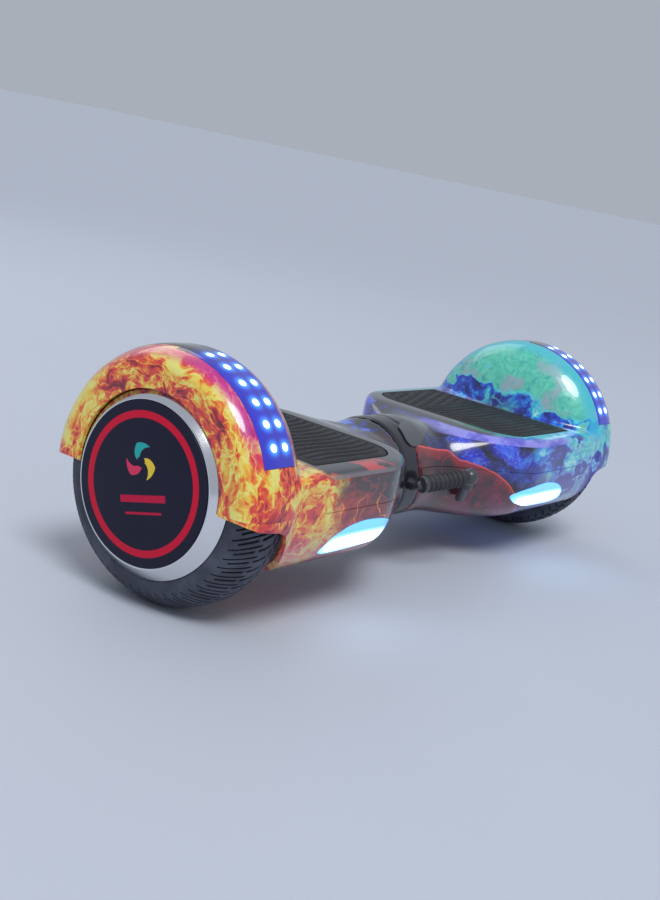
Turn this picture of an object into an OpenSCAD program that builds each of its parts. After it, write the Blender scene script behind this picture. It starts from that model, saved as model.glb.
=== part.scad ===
// Two-wheeled self-balancing board: two half bodies joined by a centre pivot.
// Units are millimetres. X runs along the board, -Y is the front, +Z is up.
// The origin is on the floor under the middle of the board.

/* [Layout] */
// Height of the axles above the drawing's base plane
axle_z = 85; // [75:1:110]
// Distance from the middle of the board to each wheel's outer face
face_x = 291; // [270:1:320]
// Height of the centre pivot axis
pivot_z = 73; // [60:1:85]
// Height where upper and lower casings meet
split_z = 84; // [70:1:95]

/* [Casing] */
// Half depth of the body at the foot decks
body_w = 92; // [80:1:105]
// Half depth of the round waist in the middle
waist_w = 45.5; // [38:0.5:55]
// Height of the foot deck
deck_z = 113.7; // [100:0.1:130]
// Height of the waist's top
waist_top_z = 117; // [100:1:130]
// Height of the underside
belly_z = 29; // [20:1:45]
// How much higher the underside is at the waist
waist_rise = 6; // [0:1:12]
// Casing wall thickness
wall_t = 3; // [2:0.5:5]
// Where each casing ends against the wheel arch
casing_end = 206; // [200:1:215]
// Inner end of the left casing
left_start = 25; // [10:1:30]

/* [Foot pads] */
// Inner end of a pad
pad_x0 = 90; // [70:1:110]
// Half depth of a pad
pad_w = 75; // [60:1:82]
// Travel of a pad when it is stood on
pad_travel = 1.5; // [1:0.1:3]
// How far a pad's top stands above the deck
pad_proud = 1.6; // [0:0.1:4]

/* [Wheels] */
// Tyre outer radius
tyre_r = 88; // [82:1:89]
// Wheel rim radius under the tyre
rim_r = 67; // [55:1:80]
// Radius of the wheel's round face plate
plate_r = 56.4; // [45:0.1:65]
// Axle radius
axle_r = 8; // [6:0.5:10]
// Clearance of everything that turns on the axle
run_gap = 0.05; // [0.01:0.01:0.1]

/* [Wheel arches] */
// Outer radius of a wheel arch
arch_r = 94; // [88:1:115]
// Thickness of a wheel arch
arch_t = 3.3; // [2:0.1:4]
// Radius of the round opening in the arch's side face
opening_r = 64; // [55:1:80]
// Outer end of the arch
arch_x = 288; // [270:1:310]

/* [Lights] */
// Inner and outer edge of the light strip on the arch
strip_x0 = 245; // [230:1:260]
// Outer edge of the light strip
strip_x1 = 275; // [260:1:285]
// Angle where the light strip ends, from the rear over the top
strip_end = 158; // [120:1:170]
// Number of lamp pairs in a light strip
lamp_pairs = 6; // [3:1:10]

/* [Hidden] */
// The drawing's base plane is axle_z under the axles, and lift stands the tyres on the floor
lift = tyre_r - axle_z;
$fn = 96;
fit = 0.05;
section_steps = 22;
station_xs = [0, 10, 18, 26, 34, 42, 50, 58, 66, 74, 82, 90, 98, 108, 118, 130, 150, 180];
seat_z = deck_z - 5;
skin_z = seat_z - wall_t;
plate_z = 92;
plate_t = 4;
pad_x1 = casing_end - 2;
dome_x = 250;
fairing_end = 244;
posts = [[84, 38], [84, -38], [186, 50], [186, -50]];
plungers = [[128, 40], [128, -40], [176, 40], [176, -40]];
// Top of the wells that the casing screws' heads sit in
well_z = 38;
pivot_hole_r = 24;
axle_hole_r = 11;
// Tread blocks round a tyre, a multiple of 4 so that one is flat on the floor
tread_blocks = 36;
// The axle's inner end, and the clamp that holds it under the frame's plate
axle_start = 168;
clamp_x = [174, 200];
clamp_w = 24;
tube_r = 15;
neck_r = 3.2;
// Where the handle's stem enters the collar, and the play of its seat
neck_root = [-13.5, -45.7, 70.5];
seat_gap = 0.1;
port_x = 150;
button_x = 116;
rear_z = 71;
rear_seat_y = 88;
cap_hinge_z = rear_z - 10.6;
cap_hinge_y = 90.9;
speaker_x = 68;
speaker_z = 36.4;
speaker_r = 15;
grip_p0 = [-22, -59, 77];
grip_p1 = [30, -74, 84];

// Which node to build

// ---------- shared helpers ----------

// Eased step from 0 to 1 between a and b
function ease(a, b, x) = let (t = min(max((x - a) / (b - a), 0), 1)) t * t * (3 - 2 * t);

// Builds for one side: the modules are written for +X, the left is the mirror image
module on_side(side) {
  translate([0, 0, lift])
    mirror([side < 0 ? 1 : 0, 0, 0]) children();
}

// Builds a piece of the middle of the board
module in_middle() {
  translate([0, 0, lift])
    children();
}

// Turns a profile drawn as (radius, x) about the X axis at height z
module spin_x(z, turn = 360, from = 0) {
  translate([0, 0, z])
    rotate([90, 0, 90])
      rotate([0, 0, from])
        rotate_extrude(angle = turn)
          children();
}

// A round bar along +X from x0 to x1
module bar_x(x0, x1, r, z, y = 0) {
  translate([x0, y, z])
    rotate([0, 90, 0])
      cylinder(r = r, h = x1 - x0);
}

// A round bar along +Y from y0 to y1
module bar_y(y0, y1, r, x, z) {
  translate([x, y0, z])
    rotate([-90, 0, 0])
      cylinder(r = r, h = y1 - y0);
}

// A round bar along +Z from z0 to z1
module bar_z(z0, z1, r, x, y) {
  translate([x, y, z0])
    cylinder(r = r, h = z1 - z0);
}

// A round bar between two points
module rod(a, b, r) {
  d = b - a;
  translate(a)
    rotate([0, acos(d[2] / norm(d)), atan2(d[1], d[0])])
      cylinder(r = r, h = norm(d));
}

// A box given by its two corners
module box(a, b) {
  translate(a)
    cube(b - a);
}

// ---------- the body's cross section ----------

function half_w(x) = waist_w + (body_w - waist_w) * ease(18, 128, x);
function top_z(x) = waist_top_z - 6 * ease(14, 52, x) + (deck_z - waist_top_z + 6) * ease(56, 82, x);
function wide_z(x) = 66 + 32 * ease(20, 110, x);
function n_top(x) = 2.05 + 6 * ease(40, 92, x);
function n_low(x) = 2.4 + 1.0 * ease(40, 125, x);
function low_z(x) = belly_z + waist_rise * (1 - ease(22, 100, x));
// The skin is thicker under the deck, where the pad's seat is sunk into it
function top_t(x) = wall_t + (deck_z - skin_z - wall_t) * ease(48, 76, x);

function up(x, off) = top_z(x) - (off > 0 ? off * top_t(x) / wall_t : off) - wide_z(x);
function down(x, off) = wide_z(x) - low_z(x) - off;

// Point of the section at x for angle a, moved inwards by off
function sec_pt(x, a, off) =
  let (w = half_w(x) - off, s = sin(a), c = cos(a))
  let (n = s >= 0 ? n_top(x) : n_low(x), h = s >= 0 ? up(x, off) : down(x, off))
  [sign(c) * w * pow(abs(c), 2 / n), wide_z(x) + sign(s) * h * pow(abs(s), 2 / n)];

// Angle at which the section reaches height z
function split_angle(x, off) =
  let (d = split_z - wide_z(x))
  d >= 0 ? asin(pow(d / up(x, off), n_top(x) / 2)) : -asin(pow(-d / down(x, off), n_low(x) / 2));

// Row of section points for the upper or lower casing
function sec_row(x, off, top) = [
  for (j = [0:section_steps])
    let (a0 = split_angle(x, off))
    let (a = top ? a0 + (180 - 2 * a0) * j / section_steps : a0 - (180 + 2 * a0) * j / section_steps)
    let (p = sec_pt(x, a, off))
    [x, p[0], p[1]]
];

function stations(x0, x1) = concat([x0], [for (x = station_xs) if (x > x0 + 2 && x < x1 - 2) x], [x1]);

// Casing half: an outer skin and an inner skin, closed at the split line and at both ends
module casing(x0, x1, top) {
  m = section_steps + 1;
  outs = stations(x0, x1);
  n = len(outs);
  ins = [for (i = [0:n - 1]) i == 0 ? x0 + wall_t : (i == n - 1 ? x1 - wall_t : outs[i])];
  pts = concat(
    [for (x = outs) each sec_row(x, 0, top)],
    [for (x = ins) each sec_row(x, wall_t, top)]
  );
  k = n * m;
  skin = [
    for (i = [0:n - 2], j = [0:m - 2])
      let (a = i * m + j, b = a + m)
      each [[a, b, a + 1], [b, b + 1, a + 1]]
  ];
  core = [for (f = skin) [f[2] + k, f[1] + k, f[0] + k]];
  edge0 = [for (i = [0:n - 2]) let (a = i * m, b = a + m) each [[b, a, a + k], [b, a + k, b + k]]];
  edge1 = [
    for (i = [0:n - 2])
      let (a = i * m + m - 1, b = a + m)
      each [[a, b, b + k], [a, b + k, a + k]]
  ];
  row = [for (j = [0:m - 1]) j];
  flip = [for (j = [0:m - 1]) m - 1 - j];
  last = (n - 1) * m;
  caps = [row, [for (j = flip) j + last], [for (j = flip) j + k], [for (j = row) j + last + k]];
  sills = [[0, m - 1, k + m - 1, k], [last + k, last + k + m - 1, last + m - 1, last]];
  faces = concat(skin, core, edge0, edge1, caps, sills);
  polyhedron(points = pts, faces = top ? faces : [for (f = faces) [for (q = [len(f) - 1:-1:0]) f[q]]]);
}

// Outline of a foot pad, grown by g
module pad_outline(g = 0) {
  r = 30;
  hull() {
    translate([pad_x0 + r, pad_w - r]) circle(r = r + g);
    translate([pad_x0 + r, r - pad_w]) circle(r = r + g);
    translate([pad_x1 - 4, -pad_w - g]) square([4 + g, 2 * (pad_w + g)]);
  }
}

// Outline of a headlight in the X-Z plane, grown by g
module eye_outline(g = 0) {
  offset(r = g)
    polygon([
      [196, 52], [186, 64], [170, 70.5], [150, 73], [129, 72], [112, 68.5],
      [98, 62], [108, 55], [122, 51.5], [146, 49.5], [168, 48.5], [186, 49]
    ]);
}

// The headlight's outline drawn forwards through the front wall
module eye_prism(g = 0) {
  translate([0, -60, 0])
    rotate([90, 0, 0])
      linear_extrude(height = 60)
        eye_outline(g);
}

// ---------- casings ----------

// Hole through the end wall for the pivot, and through the far wall for the axle
module casing_bores(x0) {
  bar_x(x0 - 1, x0 + wall_t + 1, pivot_hole_r, pivot_z);
  bar_x(casing_end - 8, casing_end + 2, axle_hole_r, axle_z);
}

module upper_shell(x0) {
  difference() {
    union() {
      casing(x0, casing_end, true);
      for (p = posts)
        bar_z(plate_z + plate_t + 0.1, skin_z + 1, 4, p[0], p[1]);
    }
    translate([0, 0, seat_z])
      linear_extrude(height = 20)
        pad_outline(0.5);
    for (p = plungers)
      bar_z(skin_z - 2, seat_z + 2, 4.2, p[0], p[1]);
    for (p = posts)
      bar_z(plate_z, skin_z, 1.3, p[0], p[1]);
    casing_bores(x0);
  }
}

// Extra inside thickness where a fitting is screwed through the rear wall
module rear_boss(x) {
  bar_y(83, rear_seat_y, 11.5, x, rear_z);
}

module rear_hole(x, r) {
  bar_y(80, 100, r, x, rear_z);
  bar_y(rear_seat_y, 100, 10, x, rear_z);
}

module speaker_grille() {
  bar_z(belly_z - 2, speaker_z + 1, 1.4, speaker_x, 0);
  for (ring = [1, 2], k = [0:ring * 6 - 1])
    let (a = k * 60 / ring, d = ring * 5)
    bar_z(belly_z - 2, speaker_z + 1, 1.4, speaker_x + d * cos(a), d * sin(a));
}

module lower_shell(x0, fittings = false) {
  difference() {
    union() {
      casing(x0, casing_end, false);
      for (p = posts)
        bar_z(belly_z + wall_t - 0.5 + post_rise(p), plate_z - 0.1, 4.4, p[0], p[1]);
      if (fittings) {
        bar_z(speaker_z - 4, speaker_z, speaker_r, speaker_x, 0);
        for (x = [port_x, button_x])
          rear_boss(x);
      }
    }
    for (p = posts) {
      bar_z(belly_z - 2, plate_z, 1.8, p[0], p[1]);
      bar_z(belly_z - 2, well_z, 3.6, p[0], p[1]);
    }
    eye_prism(0.3);
    casing_bores(x0);
    if (fittings) {
      rear_hole(port_x, 7.2);
      rear_hole(button_x, 7.2);
      speaker_grille();
    }
  }
}

// How much higher a post starts where the belly curves up
function post_rise(p) = p[0] > 100 ? 1.6 : 2.6;

// Eye-shaped window in the front wall, a plug cut from the same wall
module headlight_lens() {
  intersection() {
    difference() {
      casing(84, casing_end, false);
      box([80, -60, 0], [220, 120, 120]);
    }
    eye_prism(0);
  }
}

module headlight_board() {
  translate([148, -77, 61])
    rotate([14, 0, 0]) {
      box([-38, 0, -7], [38, 1.6, 7]);
      for (k = [-3:3])
        bar_y(-3, 0, 2.6, k * 10.5, 0);
    }
}

// ---------- wheel arch ----------

// Outline (radius, x) of the arch as a solid of revolution, moved inwards by off:
// a domed inner wall, a round crown and a rolled outer shoulder
module arch_outline(off) {
  shoulder_r = 16;
  shoulder_x = 26;
  polygon(concat(
    [
      for (a = [0:6:84])
        [(arch_r - off) * sin(a), dome_x - (dome_x - casing_end - off) * cos(a)]
    ],
    [
      for (a = [0:6:90])
        [
          arch_r - shoulder_r + (shoulder_r - off) * cos(a),
          arch_x - shoulder_x + (shoulder_x - off) * sin(a)
        ]
    ],
    [[0, arch_x - off]]
  ));
}

// The body's section at its outer end (y, z), moved inwards by off
module end_section(off) {
  top_row = sec_row(casing_end, off, true);
  low_row = sec_row(casing_end, off, false);
  polygon(concat(
    [for (p = top_row) [p[1], p[2]]],
    [for (j = [section_steps - 1:-1:1]) [low_row[j][1], low_row[j][2]]]
  ));
}

// Tube that carries the body's section on until the dome has grown as wide
module fairing() {
  translate([casing_end, 0, 0])
    rotate([90, 0, 90])
      linear_extrude(height = fairing_end - casing_end)
        difference() {
          end_section(0);
          end_section(wall_t);
        }
}

// What the arch keeps: its lower edge rises from the belly to the wheel's face
module skirt_keep() {
  rotate([90, 0, 0])
    translate([0, 0, -120])
      linear_extrude(height = 240)
        polygon([
          [casing_end, belly_z - 1], [casing_end, 200], [arch_x + 1, 200], [arch_x + 1, 84],
          [277, 79], [257, 77], [247, 71], [243, 63], [238, 50], [226, 38], [212, belly_z - 1]
        ]);
}

module wheel_arch() {
  intersection() {
    difference() {
      union() {
        spin_x(axle_z)
          arch_outline(0);
        fairing();
      }
      spin_x(axle_z)
        arch_outline(arch_t);
      bar_x(arch_x - 8, arch_x + 2, opening_r, axle_z);
      bar_x(casing_end - 2, casing_end + 6, axle_hole_r, axle_z);
      spin_x(axle_z, strip_end - 48, 48)
        strip_section(-0.15, 1.6, strip_x0 - 0.15, strip_x1 + 0.15);
      for (k = [0:lamp_pairs - 1], x = lamp_x)
        lamp_at(k, x, lamp_seat_r, 8, lamp_r + 0.3);
    }
    skirt_keep();
  }
}

// ---------- lights on the arch ----------

lamp_x = [strip_x0 + 7.5, strip_x1 - 10.5];
lamp_r = 2.6;
// Radius about the axle at which the lamps sit in their pockets
lamp_seat_r = arch_r - 2.9;

function lamp_angle(k) = 100 + 10 * k;

// A short round bar standing out from the axle line
module lamp_at(k, x, r0, h, r) {
  translate([x, 0, axle_z])
    rotate([lamp_angle(k), 0, 0])
      translate([0, r0, 0])
        rotate([-90, 0, 0])
          cylinder(r = r, h = h, $fn = 24);
}

module light_strip() {
  difference() {
    spin_x(axle_z, strip_end - 48.4, 48.2)
      strip_section(0, 1.5, strip_x0, strip_x1);
    spin_x(axle_z, 50, 38)
      strip_section(-5, 9, strip_x0 - 9, strip_x0 + 6);
    spin_x(axle_z, 50, 38)
      strip_section(-5, 9, strip_x1 - 4, strip_x1 + 9);
  }
}

// Layer of the arch's skin from depth d0 to d1 between two stations
module strip_section(d0, d1, x0, x1) {
  intersection() {
    difference() {
      arch_outline(d0);
      arch_outline(d1);
    }
    translate([70, x0]) square([40, x1 - x0]);
  }
}

module strip_lamps() {
  for (k = [0:lamp_pairs - 1], x = lamp_x)
    lamp_at(k, x, lamp_seat_r + 0.05, 0.6, lamp_r);
}

// ---------- frame and what is bolted to it ----------

module frame_outline() {
  polygon([
    [24, -24], [62, -38], [100, -60], [200, -60],
    [200, 60], [100, 60], [62, 38], [24, 24]
  ]);
}

module frame(x0, bore_r) {
  difference() {
    union() {
      intersection() {
        translate([0, 0, plate_z])
          linear_extrude(height = plate_t)
            frame_outline();
        box([x0, -100, 0], [300, 100, 200]);
      }
      bar_x(x0, 64, 21, pivot_z);
      box([x0, -10, pivot_z + 10], [64, 10, plate_z + 1]);
      box([clamp_x[0], -clamp_w, axle_z], [clamp_x[1], clamp_w, plate_z + 1]);
    }
    bar_x(x0 - 1, 65, bore_r, pivot_z);
    bar_x(axle_start - 2, 210, axle_r + fit, axle_z);
    for (p = clamp_screws)
      bar_z(axle_z - 1, plate_z + plate_t + 1, 3.05, p[0], p[1]);
    for (p = posts)
      bar_z(plate_z - 1, plate_z + plate_t + 1, 1.7, p[0], p[1]);
  }
}

clamp_screws = [[180, 17], [180, -17], [194, 17], [194, -17]];

module axle_clamp() {
  difference() {
    box([clamp_x[0], -clamp_w, 73], [clamp_x[1], clamp_w, axle_z - 0.3]);
    bar_x(axle_start, 210, axle_r + fit, axle_z);
    for (p = clamp_screws)
      bar_z(70, 90, 3.3, p[0], p[1]);
  }
}

module clamp_screw_set() {
  for (p = clamp_screws) {
    bar_z(73, plate_z + plate_t, 3, p[0], p[1]);
    difference() {
      bar_z(67.5, 73, 5, p[0], p[1]);
      translate([p[0], p[1], 67])
        cylinder(r = 2.6, h = 3.5, $fn = 6);
    }
  }
}

module shell_screw_set() {
  for (p = posts) {
    bar_z(well_z, 104, 1.25, p[0], p[1]);
    bar_z(well_z - 2.5, well_z, 3.2, p[0], p[1]);
  }
}

module gyro_board() {
  difference() {
    box([122, -46, 98], [182, 46, 99.6]);
    for (p = plungers)
      bar_z(97, 99.7, 1, p[0], p[1] * 0.55);
  }
  for (x = [127, 177], y = [-30, 30])
    bar_z(plate_z + plate_t, 98, 2.2, x, y);
  for (p = plungers)
    box([p[0] - 3, p[1] - 3, 99.6], [p[0] + 3, p[1] + 3, 103.4]);
  box([140, -10, 99.6], [152, 2, 101]);
  box([160, -6, 99.6], [165, -1, 100.8]);
  box([146, 14, 99.6], [158, 20, 103]);
}

// ---------- foot pad ----------

module footpad() {
  pad_base = seat_z + pad_travel + 0.3;
  pad_top = deck_z + pad_proud;
  translate([0, 0, pad_base])
    linear_extrude(height = pad_top - 1.2 - pad_base)
      pad_outline(-0.2);
  intersection() {
    translate([0, 0, pad_top - 1.3])
      linear_extrude(height = 1.3)
        pad_outline(-4);
    union()
      for (k = [-12:12])
        pad_rib(k, pad_top);
  }
  for (p = plungers)
    bar_z(105.3, pad_base + 0.5, 3.4, p[0], p[1]);
}

// One slanted grip rib on the pad's top
module pad_rib(k, pad_top) {
  translate([148, k * 6.2, pad_top - 1.3])
    rotate([0, 0, 12])
      translate([-75, -1.9, 0])
        cube([150, 3.8, 1.3]);
}

// ---------- wheel ----------

module tyre_section() {
  crown_r = tyre_r / cos(180 / tread_blocks);
  polygon([
    [rim_r, 238], [77, 237.4], [83, 239], [86.6, 243], [crown_r, 248], [crown_r, 259],
    [86.6, 265], [83.6, 271], [80, 276], [75.5, 279.8], [rim_r + 0.4, 281], [rim_r, 280]
  ]);
}

// The tread's crown is a ring of blocks with flat tops, the middle one standing on the floor
module tread_prism() {
  crown_r = tyre_r / cos(180 / tread_blocks);
  translate([230, 0, axle_z])
    rotate([90, 0, 90])
      linear_extrude(height = 60)
        polygon([
          for (k = [0:tread_blocks - 1])
            let (a = (k + 0.5) * 360 / tread_blocks)
            [crown_r * cos(a), crown_r * sin(a)]
        ]);
}

module tyre() {
  difference() {
    intersection() {
      spin_x(axle_z)
        tyre_section();
      tread_prism();
    }
    spin_x(axle_z)
      for (x = [243.6, 250])
        translate([tyre_r - 1.6, x]) square([4, 1.4]);
    for (k = [0:tread_blocks - 1])
      translate([0, 0, axle_z])
        rotate([(k + 0.5) * 360 / tread_blocks, 0, 0])
          translate([256, -0.7, tyre_r - 2])
            cube([14, 1.4, 6]);
  }
}

module rotor() {
  difference() {
    union() {
      spin_x(axle_z)
        translate([57, 239]) square([rim_r - 57, 39]);
      spin_x(axle_z)
        translate([14, 239]) square([44, 4]);
      spin_x(axle_z)
        translate([14, 239]) square([5, 9]);
    }
    for (k = [0:5])
      translate([0, 0, axle_z])
        rotate([k * 60 + 15, 0, 0])
          bar_x(236, 245, 5, 32);
  }
}

module magnets() {
  count = 30;
  for (k = [0:count - 1])
    spin_x(axle_z, 360 / count - 2.5, k * 360 / count)
      translate([53.6, 247]) square([3.35, 26]);
}

module stator() {
  difference() {
    union() {
      spin_x(axle_z)
        translate([30, 249]) square([22.2, 22]);
      spin_x(axle_z)
        translate([axle_r + fit, 253]) square([24, 14]);
    }
    for (k = [0:26])
      translate([0, 0, axle_z])
        rotate([k * 360 / 27, 0, 0])
          translate([248, -1.3, 37])
            cube([24, 2.6, 20]);
  }
}

module windings() {
  for (x = [[245.4, 248.9], [271.1, 274]])
    spin_x(axle_z)
      translate([38, x[0]]) square([12, x[1] - x[0]]);
}

module bearings() {
  for (x = [243.1, 269.1])
    spin_x(axle_z)
      difference() {
        translate([axle_r + run_gap, x]) square([13.95 - axle_r - run_gap, 7.8]);
        translate([10.2, x + 7.3]) square([1.6, 2]);
        translate([10.2, x - 1.5]) square([1.6, 2]);
      }
}

module axle() {
  difference() {
    bar_x(axle_start, 279.5, axle_r, axle_z);
    bar_x(axle_start - 1, 200, 3.2, axle_z);
  }
}

module rim_cover() {
  spin_x(axle_z)
    polygon([
      [19, 278.2], [rim_r - 0.2, 278.2], [rim_r - 0.2, 281.2], [plate_r + 2, 289.2],
      [plate_r + 1.2, 290.2], [plate_r + 0.1, 290.2], [plate_r + 0.1, 284], [12, 284],
      [12, 281], [14, 281], [14, 269], [19, 269]
    ]);
}

module face_plate() {
  spin_x(axle_z)
    polygon([
      [0, 284.1], [plate_r, 284.1], [plate_r, 290.4],
      [plate_r - 0.6, face_x], [0, face_x]
    ]);
}

module motor_lead() {
  bar_x(151, 186, 2.4, axle_z);
  box([142, -6, 82.5], [152, 6, 90]);
}

// ---------- centre pivot ----------

module pivot_tube_shape() {
  difference() {
    bar_x(-66, 68, tube_r, pivot_z);
    bar_x(-70, 72, 12, pivot_z);
    for (x = [-66.5, 64.4])
      translate([x, 0, pivot_z])
        rotate([0, 90, 0])
          difference() {
            cylinder(r = 20, h = 2.1);
            translate([0, 0, -1]) cylinder(r = 14.2, h = 5);
          }
  }
}

module pivot_bushes_shape() {
  for (x = [8, 52])
    difference() {
      bar_x(x, x + 12, 17, pivot_z);
      bar_x(x - 1, x + 13, tube_r + run_gap, pivot_z);
    }
}

module pivot_clips_shape() {
  for (x = [-66.2, 64.6])
    difference() {
      bar_x(x, x + 1.6, 18.5, pivot_z);
      bar_x(x - 1, x + 3, 14.25, pivot_z);
      box([x - 1, -4, pivot_z], [x + 3, 4, pivot_z + 30]);
    }
}

// Round cover between the two casings, fixed to the right one
module centre_collar_shape() {
  x0 = 0.6 - left_start;
  difference() {
    translate([x0, 0, 0])
      rotate([90, 0, 90])
        linear_extrude(height = -0.3 - x0)
          waist_outline(0);
    translate([x0 - 1, 0, 0])
      rotate([90, 0, 90])
        linear_extrude(height = -x0 - 3.5)
          waist_outline(wall_t);
    bar_x(x0, 1, pivot_hole_r, pivot_z);
    handle_neck(seat_gap);
  }
}

module waist_outline(off) {
  polygon([
    for (k = [0:71])
      let (s = sin(k * 5), c = cos(k * 5), n = s >= 0 ? n_top(0) : n_low(0))
      let (h = s >= 0 ? up(0, off) : down(0, off))
      [sign(c) * (waist_w - off) * pow(abs(c), 2 / n), 66 + sign(s) * h * pow(abs(s), 2 / n)]
  ]);
}

// Glossy leaf-shaped cover on the front of the waist, across the collar's seam
module indicator_panel_shape() {
  intersection() {
    panel_skin(-12, 50);
    translate([0, -25, 105])
      rotate([34.8, 0, 0])
        translate([0, 0, -14])
          linear_extrude(height = 40)
            polygon([
              [-11, -3], [-9.5, 4], [-8, 10.6], [2, 15], [18, 16.8], [34, 18], [44, 17.2],
              [48.5, 14.5], [46, 10.5], [38, 6.5], [30, 2.6], [14.7, -5.1], [8, -8.6],
              [2.2, -10.5], [-5.4, -10.2], [-9.5, -7.5]
            ]);
  }
}

// A thin strip of skin that stands just proud of the casing between two stations
module panel_skin(x0, x1) {
  xs = [for (k = [0:8]) x0 + (x1 - x0) * k / 8];
  m = 13;
  pts = concat(
    [for (x = xs, j = [0:m - 1]) panel_pt(x, 95 + 75 * j / (m - 1), -1.1)],
    [for (x = xs, j = [0:m - 1]) panel_pt(x, 95 + 75 * j / (m - 1), -0.2)]
  );
  n = len(xs);
  k = n * m;
  skin = [
    for (i = [0:n - 2], j = [0:m - 2])
      let (a = i * m + j)
      each [[a, a + m, a + 1], [a + m, a + m + 1, a + 1]]
  ];
  core = [for (f = skin) [f[2] + k, f[1] + k, f[0] + k]];
  e0 = [for (i = [0:n - 2]) let (a = i * m) each [[a + m, a, a + k], [a + m, a + k, a + m + k]]];
  e1 = [for (i = [0:n - 2]) let (a = i * m + m - 1) each [[a, a + m, a + m + k], [a, a + m + k, a + k]]];
  r0 = [for (j = [0:m - 2]) each [[j, j + 1, j + 1 + k], [j, j + 1 + k, j + k]]];
  b = (n - 1) * m;
  r1 = [for (j = [b:b + m - 2]) each [[j + 1, j, j + k], [j + 1, j + k, j + 1 + k]]];
  polyhedron(points = pts, faces = concat(skin, core, e0, e1, r0, r1));
}

function panel_pt(x, a, off) = let (p = sec_pt(abs(x), a, off)) [x, p[0], p[1]];

// ---------- electronics ----------

module main_board_shape() {
  board_z = 80.8;
  difference() {
    box([98, -46, board_z], [166, 46, board_z + 1.6]);
    for (x = [104, 160], y = [-40, 40])
      bar_z(board_z - 1, board_z + 3, 1.2, x, y);
  }
  for (x = [110, 156], y = [-34, 34])
    bar_z(board_z + 1.6, plate_z, 2.5, x, y);
  for (y = [-38, -24, 24, 38])
    bar_z(board_z - 18, board_z, 5, 150, y);
  for (k = [0:5])
    box([104, -38 + k * 13, board_z - 10], [108.5, -28 + k * 13, board_z]);
  box([118, -12, board_z - 1.4], [132, 2, board_z]);
  box([112, 12, board_z - 9], [124, 24, board_z]);
}

module battery_pack_shape() {
  r = 9.2;
  difference() {
    union() {
      for (row = [0, 1], k = [0:3])
        bar_y(-52, 52, r, 102 + k * 2 * r, 52.6 + row * 2 * r);
      box([102, -52, 52.6 - r], [102 + 6 * r, 52, 52.6 + 3 * r]);
      box([102 - r, -52, 52.6], [102 + 7 * r, 52, 52.6 + 2 * r]);
      box([108, -54.5, 50], [152, -51, 74]);
    }
    box([130, -56, 60], [142, -53.5, 66]);
  }
  box([118, -30, 52.6 + 3 * r], [154, 30, 52.6 + 3 * r + 2.2]);
}

module speaker_shape() {
  basket = 9;
  difference() {
    bar_z(speaker_z, speaker_z + basket, speaker_r, speaker_x, 0);
    bar_z(speaker_z - 1, speaker_z + 2.4, 11, speaker_x, 0);
  }
  bar_z(speaker_z + basket - 0.5, speaker_z + basket + 3.6, 8, speaker_x, 0);
}

// ---------- rear fittings ----------

module power_switch_shape() {
  difference() {
    union() {
      bar_y(rear_seat_y + 0.1, rear_seat_y + 1.6, 9, button_x, rear_z);
      bar_y(76, rear_seat_y + 0.2, 7, button_x, rear_z);
    }
    bar_y(80, rear_seat_y + 3, 5.5, button_x, rear_z);
  }
}

module power_button_shape() {
  difference() {
    union() {
      bar_y(83, rear_seat_y + 2.8, 5.2, button_x, rear_z);
      bar_y(81.9, 83.1, 2, button_x, rear_z);
    }
    bar_y(rear_seat_y + 2.4, rear_seat_y + 4, 3.6, button_x, rear_z);
  }
}

module charge_port_shape() {
  difference() {
    union() {
      bar_y(rear_seat_y + 0.1, rear_seat_y + 1.3, 9, port_x, rear_z);
      bar_y(74, rear_seat_y + 0.2, 7, port_x, rear_z);
      for (s = [-1, 1])
        box(
          [port_x + s * 4.4 - 1, rear_seat_y + 0.7, cap_hinge_z - 1.2],
          [port_x + s * 4.4 + 1, cap_hinge_y + 1.2, rear_z - 6.6]
        );
    }
    bar_y(78, rear_seat_y + 3, 5.5, port_x, rear_z);
    for (k = [0:2])
      bar_y(75, 79, 0.8, port_x + 3 * cos(90 + k * 120), rear_z + 3 * sin(90 + k * 120));
  }
  bar_x(port_x - 4.5, port_x + 4.5, 0.7, cap_hinge_z, cap_hinge_y);
}

module port_cap_shape() {
  y0 = rear_seat_y + 1.7;
  difference() {
    union() {
      bar_y(y0, y0 + 1.8, 8.6, port_x, rear_z);
      box([port_x - 3, y0, cap_hinge_z], [port_x + 3, y0 + 1.8, rear_z]);
      bar_x(port_x - 3, port_x + 3, 1.5, cap_hinge_z, cap_hinge_y);
    }
    bar_x(port_x - 4, port_x + 4, 0.7 + run_gap, cap_hinge_z, cap_hinge_y);
    for (s = [-1, 1])
      box(
        [port_x + s * 5.05 - 2, y0 - 1, cap_hinge_z - 2],
        [port_x + s * 5.05 + 2, y0 + 3, rear_z - 6]
      );
  }
}

// ---------- carrying handle ----------

module handle_frame_shape() {
  toe = [52, -57.6, 57.6];
  toe_dir = toe - grip_p1;
  along_grip()
    rotate_extrude()
      polygon(concat(
        [[0, 0], [7, 0], [7, 4], [4.4, 4], [4.4, grip_len() - 4]],
        [for (a = [-30:10:90]) [7 * cos(a), grip_len() + 7 * sin(a)]]
      ));
  handle_neck();
  rod(grip_p1, toe, 4.2);
  rod(grip_p1 + toe_dir * 0.24, grip_p1 + toe_dir * 0.46, 5.6);
}

// Stem from its shallow seat in the collar into the near end of the grip
module handle_neck(gap = 0) {
  near_end = grip_p0 - grip_dir();
  rod(neck_root, near_end + (near_end - neck_root) * 0.25, neck_r + gap);
}

function grip_len() = norm(grip_p1 - grip_p0);
function grip_dir() = (grip_p1 - grip_p0) / grip_len();

// Stands what is drawn along +Z onto the grip's line
module along_grip() {
  d = grip_dir();
  translate(grip_p0)
    rotate([0, acos(d[2]), atan2(d[1], d[0])])
      children();
}

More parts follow.
